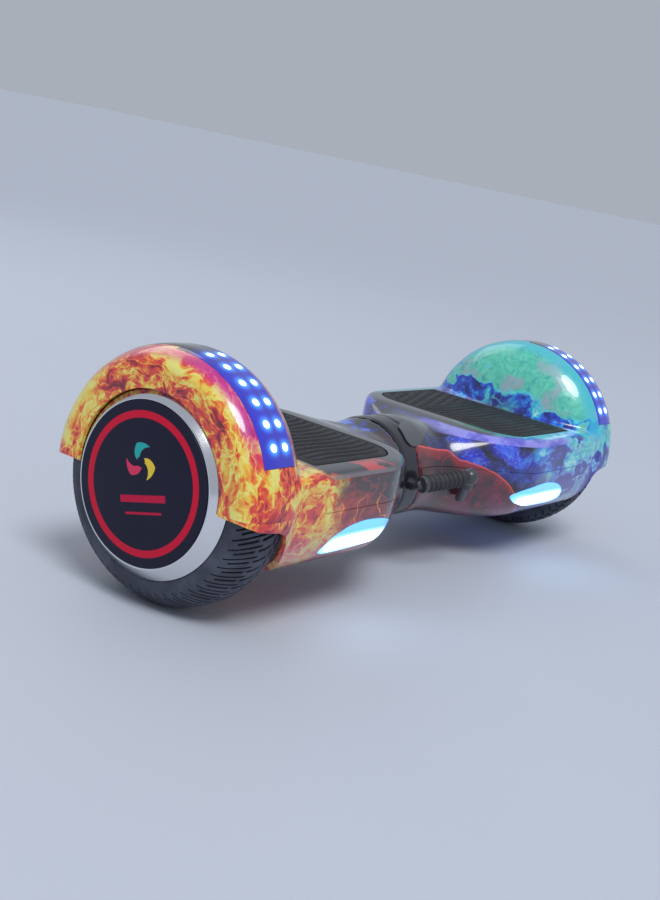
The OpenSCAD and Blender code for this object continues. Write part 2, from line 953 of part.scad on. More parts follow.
module handle_grip_shape() {
  along_grip()
    difference() {
      union() {
        translate([0, 0, 4.1]) cylinder(r = 6.2, h = grip_len() - 9);
        for (k = [0:7])
          translate([0, 0, 6.5 + k * 5]) cylinder(r = 7.2, h = 2.6);
      }
      translate([0, 0, -1]) cylinder(r = 4.45, h = grip_len() + 4);
    }
}

// ---------- nodes ----------

module left_upper_shell() {
  color([0.82, 0.38, 0.1])
    on_side(-1)
      upper_shell(left_start);
}

module left_lower_shell() {
  color([0.82, 0.38, 0.1])
    on_side(-1)
      lower_shell(left_start);
}

module left_wheel_arch() {
  color([0.82, 0.38, 0.1])
    on_side(-1)
      wheel_arch();
}

module left_frame() {
  color([0.7, 0.71, 0.73])
    on_side(-1)
      frame(33, tube_r + fit);
}

module left_footpad() {
  color([0.08, 0.08, 0.09])
    on_side(-1)
      footpad();
}

module left_gyro_board() {
  color([0.1, 0.35, 0.2])
    on_side(-1)
      gyro_board();
}

module left_light_strip() {
  color([0.12, 0.16, 0.6])
    on_side(-1)
      light_strip();
}

module left_strip_lamps() {
  color([0.8, 0.95, 1.0])
    on_side(-1)
      strip_lamps();
}

module left_headlight_lens() {
  color([0.75, 0.92, 1.0])
    on_side(-1)
      headlight_lens();
}

module left_headlight_board() {
  color([0.9, 0.95, 1.0])
    on_side(-1)
      headlight_board();
}

module left_axle() {
  color([0.6, 0.61, 0.63])
    on_side(-1)
      axle();
}

module left_axle_clamp() {
  color([0.66, 0.67, 0.7])
    on_side(-1)
      axle_clamp();
}

module left_clamp_screws() {
  color([0.3, 0.3, 0.32])
    on_side(-1)
      clamp_screw_set();
}

module left_shell_screws() {
  color([0.25, 0.25, 0.27])
    on_side(-1)
      shell_screw_set();
}

module left_stator() {
  color([0.5, 0.5, 0.52])
    on_side(-1)
      stator();
}

module left_windings() {
  color([0.72, 0.4, 0.2])
    on_side(-1)
      windings();
}

module left_motor_lead() {
  color([0.12, 0.12, 0.13])
    on_side(-1)
      motor_lead();
}

module left_tyre() {
  color([0.13, 0.14, 0.18])
    on_side(-1)
      tyre();
}

module left_rotor() {
  color([0.62, 0.63, 0.65])
    on_side(-1)
      rotor();
}

module left_magnets() {
  color([0.45, 0.45, 0.48])
    on_side(-1)
      magnets();
}

module left_bearings() {
  color([0.7, 0.7, 0.72])
    on_side(-1)
      bearings();
}

module left_rim_cover() {
  color([0.85, 0.86, 0.88])
    on_side(-1)
      rim_cover();
}

module left_face_plate() {
  color([0.06, 0.06, 0.1])
    on_side(-1)
      face_plate();
}

module right_upper_shell() {
  color([0.2, 0.62, 0.68])
    on_side(1)
      upper_shell(0);
}

module right_lower_shell() {
  color([0.2, 0.62, 0.68])
    on_side(1)
      lower_shell(0, true);
}

module right_wheel_arch() {
  color([0.2, 0.62, 0.68])
    on_side(1)
      wheel_arch();
}

module right_frame() {
  color([0.7, 0.71, 0.73])
    on_side(1)
      frame(8, 17 + fit);
}

module right_footpad() {
  color([0.08, 0.08, 0.09])
    on_side(1)
      footpad();
}

module right_gyro_board() {
  color([0.1, 0.35, 0.2])
    on_side(1)
      gyro_board();
}

module right_light_strip() {
  color([0.12, 0.16, 0.6])
    on_side(1)
      light_strip();
}

module right_strip_lamps() {
  color([0.8, 0.95, 1.0])
    on_side(1)
      strip_lamps();
}

module right_headlight_lens() {
  color([0.75, 0.92, 1.0])
    on_side(1)
      headlight_lens();
}

module right_headlight_board() {
  color([0.9, 0.95, 1.0])
    on_side(1)
      headlight_board();
}

module right_axle() {
  color([0.6, 0.61, 0.63])
    on_side(1)
      axle();
}

module right_axle_clamp() {
  color([0.66, 0.67, 0.7])
    on_side(1)
      axle_clamp();
}

module right_clamp_screws() {
  color([0.3, 0.3, 0.32])
    on_side(1)
      clamp_screw_set();
}

module right_shell_screws() {
  color([0.25, 0.25, 0.27])
    on_side(1)
      shell_screw_set();
}

module right_stator() {
  color([0.5, 0.5, 0.52])
    on_side(1)
      stator();
}

module right_windings() {
  color([0.72, 0.4, 0.2])
    on_side(1)
      windings();
}

module right_motor_lead() {
  color([0.12, 0.12, 0.13])
    on_side(1)
      motor_lead();
}

module right_tyre() {
  color([0.13, 0.14, 0.18])
    on_side(1)
      tyre();
}

module right_rotor() {
  color([0.62, 0.63, 0.65])
    on_side(1)
      rotor();
}

module right_magnets() {
  color([0.45, 0.45, 0.48])
    on_side(1)
      magnets();
}

module right_bearings() {
  color([0.7, 0.7, 0.72])
    on_side(1)
      bearings();
}

module right_rim_cover() {
  color([0.85, 0.86, 0.88])
    on_side(1)
      rim_cover();
}

module right_face_plate() {
  color([0.06, 0.06, 0.1])
    on_side(1)
      face_plate();
}

module pivot_tube() {
  color([0.58, 0.59, 0.61])
    in_middle()
      pivot_tube_shape();
}

module pivot_bushes() {
  color([0.85, 0.83, 0.76])
    in_middle()
      pivot_bushes_shape();
}

module pivot_clips() {
  color([0.3, 0.3, 0.32])
    in_middle()
      pivot_clips_shape();
}

module centre_collar() {
  color([0.16, 0.17, 0.2])
    in_middle()
      centre_collar_shape();
}

module indicator_panel() {
  color([0.4, 0.41, 0.44])
    in_middle()
      indicator_panel_shape();
}

module main_board() {
  color([0.1, 0.35, 0.2])
    on_side(-1)
      main_board_shape();
}

module battery_pack() {
  color([0.1, 0.25, 0.6])
    in_middle()
      battery_pack_shape();
}

module speaker() {
  color([0.12, 0.12, 0.13])
    in_middle()
      speaker_shape();
}

module power_button() {
  color([0.75, 0.76, 0.78])
    in_middle()
      power_button_shape();
}

module power_switch() {
  color([0.2, 0.2, 0.22])
    in_middle()
      power_switch_shape();
}

module charge_port() {
  color([0.55, 0.56, 0.58])
    in_middle()
      charge_port_shape();
}

module port_cap() {
  color([0.1, 0.1, 0.11])
    in_middle()
      port_cap_shape();
}

module handle_frame() {
  color([0.17, 0.17, 0.19])
    in_middle()
      handle_frame_shape();
}

module handle_grip() {
  color([0.12, 0.12, 0.13])
    in_middle()
      handle_grip_shape();
}

left_upper_shell();
left_lower_shell();
left_wheel_arch();
left_frame();
left_footpad();
left_gyro_board();
left_light_strip();
left_strip_lamps();
left_headlight_lens();
left_headlight_board();
left_axle();
left_axle_clamp();
left_clamp_screws();
left_shell_screws();
left_stator();
left_windings();
left_motor_lead();
left_tyre();
left_rotor();
left_magnets();
left_bearings();
left_rim_cover();
left_face_plate();
right_upper_shell();
right_lower_shell();
right_wheel_arch();
right_frame();
right_footpad();
right_gyro_board();
right_light_strip();
right_strip_lamps();
right_headlight_lens();
right_headlight_board();
right_axle();
right_axle_clamp();
right_clamp_screws();
right_shell_screws();
right_stator();
right_windings();
right_motor_lead();
right_tyre();
right_rotor();
right_magnets();
right_bearings();
right_rim_cover();
right_face_plate();
pivot_tube();
pivot_bushes();
pivot_clips();
centre_collar();
indicator_panel();
main_board();
battery_pack();
speaker();
power_button();
power_switch();
charge_port();
port_cap();
handle_frame();
handle_grip();
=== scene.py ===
"""Looks of the self-balancing board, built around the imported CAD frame.

Lengths are in millimetres in the drawing's coordinates until a mesh is made; place() then
mirrors the left side, lifts the drawing onto the floor and turns millimetres into metres.
"""

import math

import bmesh
import bpy
import numpy as np
from mathutils import Matrix, Vector


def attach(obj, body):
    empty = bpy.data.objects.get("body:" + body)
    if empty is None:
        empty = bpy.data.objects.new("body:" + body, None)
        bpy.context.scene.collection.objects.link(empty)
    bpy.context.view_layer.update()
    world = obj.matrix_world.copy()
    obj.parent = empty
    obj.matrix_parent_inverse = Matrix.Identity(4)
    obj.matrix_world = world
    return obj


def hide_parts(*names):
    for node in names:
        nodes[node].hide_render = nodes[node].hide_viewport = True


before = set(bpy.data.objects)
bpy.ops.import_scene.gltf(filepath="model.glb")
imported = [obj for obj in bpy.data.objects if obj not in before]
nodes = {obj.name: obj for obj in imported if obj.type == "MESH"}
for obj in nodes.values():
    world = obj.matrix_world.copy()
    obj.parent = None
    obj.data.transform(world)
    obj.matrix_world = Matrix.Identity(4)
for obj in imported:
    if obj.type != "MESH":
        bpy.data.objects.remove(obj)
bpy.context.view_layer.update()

MM = 0.001
LEFT, RIGHT = -1, 1
SIDE_NAME = {LEFT: "left", RIGHT: "right"}

# ---------- sizes shared with the CAD ----------

AXLE_Z = 85
LIFT = 3
PIVOT_Z = 73
SPLIT_Z = 84
BODY_W = 92
WAIST_W = 45.5
DECK_Z = 113.7
WAIST_TOP_Z = 117
BELLY_Z = 29
WAIST_RISE = 6
SADDLE = 6
WALL_T = 3
CASING_END = 206
FAIRING_END = 244
LEFT_START = 25
ARCH_R = 94
ARCH_T = 3.3
ARCH_X = 288
DOME_X = 250
OPENING_R = 64
SHOULDER_R = 16
SHOULDER_X = 26
STRIP_X = (245, 275)
STRIP_ANGLES = (48, 158)
TAIL_END = 88
LAMP_ANGLES = [100 + 10 * k for k in range(6)]
LAMP_X = (252.5, 264.5)
PAD_X = (90, 204)
PAD_W = 75
PAD_CORNER = 30
PAD_TOP = 115.3
PAD_BASE = 110.5
SEAT_Z = DECK_Z - 5
RIM_R = 67
PLATE_R = 56.4
FACE_X = 291
REAR_Z = 71
REAR_SEAT_Y = 88
PORT_X = 150
BUTTON_X = 116
PIVOT_HOLE_R = 24
AXLE_HOLE_R = 11
FITTING_R, FITTING_BORE_R = 10, 7.3
SCREWS = ((84, 38), (84, -38), (186, 50), (186, -50))
WELL_Z, WELL_R = 38, 3.6
SEAM = 0.22  # half the gap between the upper and the lower casing
REACH = 130  # further than any part of the body, for cutters
# The same heights above the floor
AXLE_H = AXLE_Z + LIFT
DECK_LEVEL = DECK_Z + LIFT


# ---------- the body's cross section, as in the CAD ----------


def ease(a, b, x):
    """0 up to a, 1 from b on, and a smooth change between them."""
    t = np.clip((x - a) / (b - a), 0, 1)
    return t * t * (3 - 2 * t)


def half_w(x):
    """Half of the body's width at x."""
    return WAIST_W + (BODY_W - WAIST_W) * ease(18, 128, x)


def top_z(x):
    """Height of the body's top at x, with a saddle between waist and deck."""
    saddle_z = WAIST_TOP_Z - SADDLE
    return WAIST_TOP_Z - SADDLE * ease(14, 52, x) + (DECK_Z - saddle_z) * ease(56, 82, x)


def wide_z(x):
    """Height at which the body is widest."""
    return 66 + 32 * ease(20, 110, x)


def n_top(x):
    """Squareness of the section above its widest line: 2 is an ellipse."""
    return 2.05 + 6 * ease(40, 92, x)


def n_low(x):
    """Squareness of the section below it."""
    return 2.4 + 1 * ease(40, 125, x)


def low_z(x):
    """Height of the underside at x."""
    return BELLY_Z + WAIST_RISE * (1 - ease(22, 100, x))


def top_t(x):
    """Thickness of the skin at the top: it is thicker under the deck."""
    return WALL_T + (DECK_Z - SEAT_Z) * ease(48, 76, x)


def section(x, off, count):
    """Closed ring of points (x, y, z) round the body at x, moved inwards by off."""
    a = np.linspace(0, 2 * math.pi, count, endpoint=False)
    s, c = np.sin(a), np.cos(a)
    above = s >= 0
    inset = off * top_t(x) / WALL_T if off > 0 else off
    n = np.where(above, n_top(x), n_low(x))
    h = np.where(above, top_z(x) - inset - wide_z(x), wide_z(x) - low_z(x) - off)
    y = np.sign(c) * (half_w(x) - off) * np.abs(c) ** (2 / n)
    z = wide_z(x) + np.sign(s) * h * np.abs(s) ** (2 / n)
    return np.stack([np.full(count, x), y, z], 1)


def section_at(x, station, off, count):
    """The section of one station, moved to x."""
    return section(station, off, count) * [0, 1, 1] + [x, 0, 0]


def arch_profile(off):
    """Points (radius, x) of the wheel arch: domed inner wall, crown, rolled outer shoulder."""
    dome = DOME_X - CASING_END - off
    a = np.radians(np.linspace(0, 87, 40))
    inner = np.stack([(ARCH_R - off) * np.sin(a), DOME_X - dome * np.cos(a)], 1)
    b = np.radians(np.linspace(0, 90, 22))
    r = SHOULDER_R - off
    outer = np.stack(
        [ARCH_R - SHOULDER_R + r * np.cos(b), ARCH_X - SHOULDER_X + (SHOULDER_X - off) * np.sin(b)], 1
    )
    return np.concatenate([inner, outer, [[0, ARCH_X - off]]])


# ---------- mesh helpers ----------

LOFT_STEP = 2.5
WELD_GAP = 1e-4


def mesh_object(name, points, faces, smooth=True):
    """A new object with its normals facing out."""
    mesh = bpy.data.meshes.new(name)
    mesh.from_pydata([tuple(p) for p in points], [], [tuple(int(i) for i in f) for f in faces])
    if smooth:
        mesh.shade_smooth()
    obj = bpy.data.objects.new(name, mesh)
    bpy.context.scene.collection.objects.link(obj)
    fix_normals(obj)
    return obj


def fix_normals(obj):
    bm = bmesh.new()
    bm.from_mesh(obj.data)
    bmesh.ops.recalc_face_normals(bm, faces=bm.faces)
    bm.to_mesh(obj.data)
    bm.free()


def place(obj, side):
    """Mirrors a left-side piece, lifts it and turns millimetres into metres."""
    m = Matrix.Diagonal((side * MM, MM, MM, 1)) @ Matrix.Translation((0, 0, LIFT))
    obj.data.transform(m)
    if side < 0:
        obj.data.flip_normals()
    return obj


def rings_to_mesh(name, rings, joined=False):
    """Skin through equal rings of points. The last ring joins the first, or both ends are closed."""
    count, total = len(rings[0]), len(rings)
    faces = []
    for i in range(total if joined else total - 1):
        a, b = i * count, (i + 1) % total * count
        for j in range(count):
            k = (j + 1) % count
            faces.append((a + j, a + k, b + k, b + j))
    if not joined:
        last = (total - 1) * count
        faces.append(tuple(range(count))[::-1])
        faces.append(tuple(last + j for j in range(count)))
    return mesh_object(name, np.concatenate(rings), faces)


def loft(name, x0, x1, off=0):
    """Closed solid that follows the body's section from x0 to x1."""
    xs = np.linspace(x0, x1, round((x1 - x0) / LOFT_STEP) + 1)
    return rings_to_mesh(name, [section_at(x, min(x, CASING_END), off, 200) for x in xs])


def spin(name, profile, segments=256, start=0, turn=360, axle_z=AXLE_Z):
    """Turns a closed profile of points (radius, x) about the axle. Angles run from the rear over the top."""
    profile = np.asarray(profile, float)
    full = turn >= 360
    n = segments if full else max(3, int(segments * turn / 360)) + 1
    r, x = profile[:, 0], profile[:, 1]
    rings = []
    for a in np.radians(start + np.linspace(0, turn, n, endpoint=not full)):
        rings.append(np.stack([x, r * math.cos(a), axle_z + r * math.sin(a)], 1))
    return weld(rings_to_mesh(name, rings, full))


def weld(obj):
    """Merges points that lie on each other."""
    bm = bmesh.new()
    bm.from_mesh(obj.data)
    bmesh.ops.remove_doubles(bm, verts=bm.verts, dist=WELD_GAP)
    bmesh.ops.dissolve_degenerate(bm, edges=bm.edges, dist=WELD_GAP)
    bmesh.ops.recalc_face_normals(bm, faces=bm.faces)
    bm.to_mesh(obj.data)
    bm.free()
    return obj


def box(name, a, b):
    """A plain cutter block between two corners."""
    (x0, y0, z0), (x1, y1, z1) = a, b
    pts = [(x, y, z) for x in (x0, x1) for y in (y0, y1) for z in (z0, z1)]
    faces = [(0, 1, 3, 2), (4, 6, 7, 5), (0, 4, 5, 1), (2, 3, 7, 6), (0, 2, 6, 4), (1, 5, 7, 3)]
    return mesh_object(name, pts, faces, smooth=False)


def tube(name, start, end, radius, count=48):
    """A round cutter or bar between two points."""
    start, end = Vector(start), Vector(end)
    turn = Vector((0, 0, 1)).rotation_difference(end - start)
    angles = [2 * math.pi * j / count for j in range(count)]
    spokes = [turn @ Vector((radius * math.cos(a), radius * math.sin(a), 0)) for a in angles]
    return rings_to_mesh(name, [np.array([at + spoke for spoke in spokes]) for at in (start, end)])


def prism(name, outline, start, end, axis=2):
    """Straight prism of an outline: (x, y) and upright, or (x, z) and along y with axis=1."""
    rings = [np.insert(np.asarray(outline, float), axis, at, axis=1) for at in (start, end)]
    return rings_to_mesh(name, rings)


def soften_outline(points, share):
    """Cuts the corners of a closed outline three times, by a share of each side."""
    pts = np.asarray(points, float)
    for _ in range(3):
        after = np.roll(pts, -1, 0)
        pairs = [pts * (1 - share) + after * share, pts * share + after * (1 - share)]
        pts = np.stack(pairs, 1).reshape(-1, 2)
    return pts


def drop(obj):
    """Removes an object and its mesh."""
    data = obj.data
    bpy.data.objects.remove(obj)
    if data.users == 0:
        bpy.data.meshes.remove(data)


def apply_modifiers(obj):
    """Puts the result of the modifiers in place of the mesh."""
    deps = bpy.context.evaluated_depsgraph_get()
    mesh = bpy.data.meshes.new_from_object(obj.evaluated_get(deps), depsgraph=deps)
    old = obj.data
    obj.modifiers.clear()
    obj.data = mesh
    mesh.name = obj.name
    bpy.data.meshes.remove(old)
    return obj


def combine(obj, tool, how):
    """Boolean of two closed meshes. The tool is used up."""
    mod = obj.modifiers.new("cut", "BOOLEAN")
    mod.operation = how
    mod.solver = "MANIFOLD"
    mod.object = tool
    apply_modifiers(obj)
    drop(tool)
    return obj


def cut(obj, *tools):
    """Takes closed tools out of a closed mesh."""
    for tool in tools:
        combine(obj, tool, "DIFFERENCE")
    return obj


def join(obj, *others):
    """Adds the other meshes to the first one, and removes them."""
    bm = bmesh.new()
    for o in (obj, *others):
        bm.from_mesh(o.data)
    bm.to_mesh(obj.data)
    bm.free()
    for o in others:
        drop(o)
    return obj


def remesh(obj, voxel, smooth_steps):
    """One even skin round everything in the mesh, softened where surfaces meet."""
    mod = obj.modifiers.new("skin", "REMESH")
    mod.mode = "VOXEL"
    mod.voxel_size = voxel
    apply_modifiers(obj)
    mod = obj.modifiers.new("soften", "SMOOTH")
    mod.factor = 0.5
    mod.iterations = smooth_steps
    apply_modifiers(obj)
    obj.data.shade_smooth()
    return obj


def crease(obj, degrees):
    """Smooth shading, with hard edges where the surface turns by more than this angle."""
    obj.data.shade_smooth()
    obj.data.set_sharp_from_angle(angle=math.radians(degrees))


def copy(obj, name):
    new = obj.copy()
    new.data = obj.data.copy()
    new.name = name
    new.data.name = name
    bpy.context.scene.collection.objects.link(new)
    return new


# ---------- material helpers ----------


class Value:
    """An output of a material's node. Sums with it, and its methods, add the nodes that they need."""

    def __init__(self, look, socket):
        self.look = look
        self.socket = socket

    def __add__(self, other):
        return self.look.math("ADD", self, other)

    def __sub__(self, other):
        return self.look.math("SUBTRACT", self, other)

    def __rsub__(self, other):
        return self.look.math("SUBTRACT", other, self)

    def __mul__(self, other):
        return self.look.math("MULTIPLY", self, other)

    def __abs__(self):
        return self.look.math("ABSOLUTE", self)

    __radd__ = __add__
    __rmul__ = __mul__

    def step(self, lo, hi, to_lo=0, to_hi=1):
        """Eased step: to_lo below lo, to_hi above hi. lo may be above hi."""
        if lo > hi:
            lo, hi, to_lo, to_hi = hi, lo, to_hi, to_lo
        limits = {"Value": self, "From Min": lo, "From Max": hi, "To Min": to_lo, "To Max": to_hi}
        return self.look.node("MapRange", limits, interpolation_type="SMOOTHSTEP")

    def band(self, lo, hi, soft):
        """1 between lo and hi, easing to 0 outside."""
        return self.step(lo - soft, lo + soft) * self.step(hi + soft, hi - soft)

    def thread(self, middle, width):
        """Thin bright line where the value passes through middle."""
        return abs(self - middle).step(width, 0)

    def contrast(self, gain):
        """A noise value spread about its middle."""
        return (self - 0.5) * gain

    def ramp(self, *stops):
        """Colour by value, from (value, colour) stops."""
        ramp = self.look.node("ValToRGB", {0: self})
        elements = ramp.socket.node.color_ramp.elements
        while len(elements) < len(stops):
            elements.new(1)
        for element, (at, colour) in zip(elements, stops):
            element.position = at
            element.color = (*colour, 1)
        return ramp

    def bump(self, strength, distance):
        return self.look.node("Bump", {"Height": self, "Strength": strength, "Distance": distance})

    def axes(self):
        """The three numbers of a position."""
        split = self.look.node("SeparateXYZ", {0: self}).socket.node
        return [Value(self.look, socket) for socket in split.outputs]

    def polar(self):
        """Radius and angle in degrees about the axle, from the rear over the top."""
        _, y, z = self.axes()
        dz = z - AXLE_H
        angle = self.look.math("ARCTAN2", dz, y) * (180 / math.pi)
        return self.look.length(y, dz), angle

    def stretch(self, by):
        return self.look.vector("MULTIPLY", self, by)

    def noise(self, size, detail=3, rough=0.5, output="Fac"):
        """Noise at this position, whose features are about size millimetres wide."""
        inputs = {"Vector": self, "Scale": 1 / size, "Detail": detail, "Roughness": rough}
        return self.look.node("TexNoise", inputs, output)

    def cells(self, size, feature="F1"):
        return self.look.node("TexVoronoi", {"Vector": self, "Scale": 1 / size}, "Distance", feature=feature)

    def warp(self, size, amount):
        """This position, moved about by noise."""
        shift = self.look.vector("SUBTRACT", self.noise(size, 2, output="Color"), (0.5, 0.5, 0.5))
        return self.look.vector("ADD", self, self.look.scale(shift, amount))

    def swirl(self, stretch, size):
        """Twisted position for smoke and flames, drawn out along one axis."""
        return self.warp(size * 1.9, size * 1.3).warp(size * 0.7, size * 0.45).stretch(stretch)


def mix(a, b, fac):
    """Colour a where fac is 0 and b where it is 1."""
    return fac.look.node("Mix", {0: fac, 6: a, 7: b}, 2, data_type="RGBA")


class Look:
    """One procedural material. Most methods add a node and return its output as a Value."""

    def __init__(self, name):
        self.name = name
        self.material = bpy.data.materials.new(name)
        self.material.use_nodes = True
        self.tree = self.material.node_tree
        self.tree.nodes.clear()
        out = self.tree.nodes.new("ShaderNodeOutputMaterial")
        self.shader = self.tree.nodes.new("ShaderNodeBsdfPrincipled")
        self.tree.links.new(self.shader.outputs[0], out.inputs[0])

    def wire(self, socket, value):
        if isinstance(value, Value):
            self.tree.links.new(value.socket, socket)
            return
        if socket.type == "RGBA" and len(value) == 3:
            value = (*value, 1)
        socket.default_value = value

    def node(self, kind, inputs, output=0, **settings):
        """A new node with its settings and inputs filled in, and one of its outputs."""
        node = self.tree.nodes.new("ShaderNode" + kind)
        for name, value in settings.items():
            setattr(node, name, value)
        for name, value in inputs.items():
            self.wire(node.inputs[name], value)
        return Value(self, node.outputs[output])

    def surface(self, **inputs):
        for name, value in inputs.items():
            title = name.replace("_", " ").title().replace("Ior", "IOR")
            self.wire(self.shader.inputs[title], value)
        return self

    def vector(self, op, a, b):
        return self.node("VectorMath", {0: a, 1: b}, "Vector", operation=op)

    def scale(self, a, k):
        return self.node("VectorMath", {0: a, "Scale": k}, "Vector", operation="SCALE")

    def attribute(self, name):
        """A number kept on each point of the mesh."""
        return self.node("Attribute", {}, "Fac", attribute_name=name)

    def join(self, x, y, z):
        return self.node("CombineXYZ", {0: x, 1: y, 2: z})

    def math(self, op, *values):
        return self.node("Math", dict(enumerate(values)), operation=op)

    def length(self, a, b):
        return self.math("SQRT", a * a + b * b)


def new_look(name):
    """A material, and the position in millimetres above the floor."""
    look = Look(name)
    position = look.node("TexCoord", {}, "Object")
    return look, look.scale(position, 1 / MM)


def paint(obj, look):
    obj.data.materials.clear()
    obj.data.materials.append(look.material)
    return obj


# ---------- the printed casings ----------

CHARCOAL = (0.014, 0.013, 0.018)
PRINT_FINISH = {"roughness": 0.3, "coat_weight": 1, "coat_roughness": 0.035, "ior": 1.5}


def streaks(p, stretch, sizes):
    """Noise drawn out along the print's flow, one value for each size.

    The flow runs lengthwise on the body and round the axle on the arch.
    """
    x, y, z = p.axes()
    radius, angle = p.polar()
    along_body = p.look.join(x * 0.95, y, z)
    round_arch = p.look.join(angle * 1.45, radius, x * 0.9)
    found = []
    for q in (along_body, round_arch):
        q = q.swirl(stretch, 20)
        found.append([q.noise(size, 3, 0.52) for size in sizes])
    on_arch = abs(x).step(222, 248)
    return [a * (1 - on_arch) + b * on_arch for a, b in zip(*found)]


def fire_look():
    """Flames round the wheel that turn to dark smoke with red veins towards the middle."""
    look, p = new_look("left_print")
    x, y, z = p.axes()
    ax = abs(x)
    radius, angle = p.polar()

    body, fine, lash = streaks(p, (0.42, 1, 1), (12, 4.4, 8.5))
    wide = p.noise(46, 2)
    tongue = lash.thread(0.5, 0.05)
    hair = fine.thread(0.5, 0.05)

    # Hottest low in front and at the arch's rear end, redder over the top
    top = angle.band(62, 142, 20)
    heat = 0.5 + body.contrast(2.1) + fine.contrast(1.1) + wide.contrast(0.8)
    heat = heat + tongue * 0.34 + hair * 0.14 - top * 0.08
    flames = heat.ramp(
        (0, (0.15, 0.005, 0.016)),
        (0.2, (0.43, 0.01, 0.024)),
        (0.38, (0.78, 0.036, 0.03)),
        (0.52, (0.88, 0.13, 0.02)),
        (0.66, (0.92, 0.36, 0.03)),
        (0.8, (0.92, 0.62, 0.06)),
        (1, (0.9, 0.82, 0.2)),
    )

    # Dark smoke with red wisps on the middle of the board
    spread = ax + p.warp(30, 20).noise(34).contrast(120)
    near_wheel = spread.step(176, 204)
    smoke = p.swirl((0.55, 1, 1.2), 34).noise(30)
    low = z.step(104, 84)
    fill = smoke.step(0.47, 0.64) * low.step(0, 1, 0.18, 0.9)
    dark = mix(CHARCOAL, (0.26, 0.012, 0.014), fill)
    wisp = smoke.thread(0.5, 0.022) * low.step(0, 1, 0.25, 0.9)
    dark = mix(dark, (0.8, 0.045, 0.035), wisp)
    belt = spread.step(118, 178) * z.step(104, 88, 0.12, 0.95)
    ember = (0.5 + body.contrast(2.6)).ramp(
        (0.15, (0.05, 0.004, 0.005)),
        (0.5, (0.34, 0.012, 0.014)),
        (0.9, (0.8, 0.07, 0.03)),
    )
    dark = mix(dark, ember, belt * 0.85)
    curl = p.swirl((0.8, 1, 1), 26).noise(22, 1)
    hot_hair = curl.thread(0.5, 0.02) * ax.step(96, 118) * z.step(98, 88)
    dark = mix(dark, (0.95, 0.38, 0.05), hot_hair * 0.9)
    colour = mix(dark, flames, near_wheel)

    # The deck's border is dark, with red at its rear corner and its front edge
    on_deck = z.step(DECK_LEVEL - 4.5, DECK_LEVEL - 2) * ax.step(212, 204)
    rear_red = spread.step(120, 190) * y.step(68, 82)
    border = mix(CHARCOAL, (0.66, 0.015, 0.07), rear_red)
    front_red = y.step(-72, -82) * smoke.step(0.53, 0.58) * ax.step(104, 122)
    border = mix(border, (0.62, 0.025, 0.025), front_red)
    # Painted highlight: light grey along the front chamfer below the deck's edge
    chamfer_highlight = z.band(DECK_LEVEL - 6, DECK_LEVEL - 2.6, 0.4) * ax.band(120, 204, 8)
    colour = mix(colour, (0.2, 0.19, 0.22), chamfer_highlight * y.step(-70, -84) * 0.8)
    colour = mix(colour, border, on_deck)

    # Blue smoke on top of the waist, pink haze over the belly
    puff = p.swirl((0.8, 1, 1), 18).noise(17)
    waist = ax.step(62, 46) * z.step(98, 110)
    blue = mix((0.01, 0.02, 0.42), (0.06, 0.2, 0.95), puff.step(0.56, 0.68))
    colour = mix(colour, blue, waist * puff.step(0.52, 0.6))
    haze = z.step(86, 60) * ax.step(90, 130)
    veil = 0.3 + fine.contrast(1.6)
    colour = mix(colour, (0.62, 0.1, 0.24), haze * veil)

    # Beside the light strip: painted magenta where the strip's blue light falls on the red print, a painted
    # pink highlight on the shoulder, and a dark purple tint on the strip's inner side
    outer = ax.band(274, 286, 5)
    # Painted light: magenta where the strip's blue light falls on the red print
    strip_light_paint = outer * radius.step(84, 91) * angle.band(92, 150, 14)
    colour = mix(colour, (0.6, 0.012, 0.34), strip_light_paint * 0.8)
    # Painted highlight: pink over the top of the outer shoulder
    shoulder_highlight = outer * radius.step(82, 90) * angle.band(46, 100, 14)
    colour = mix(colour, (0.72, 0.13, 0.22), shoulder_highlight * 0.7)
    inner = ax.step(249, 242) * z.step(122, 130)
    colour = mix(colour, (0.2, 0.02, 0.2), inner * 0.6)

    return look.surface(base_color=colour, **PRINT_FINISH)


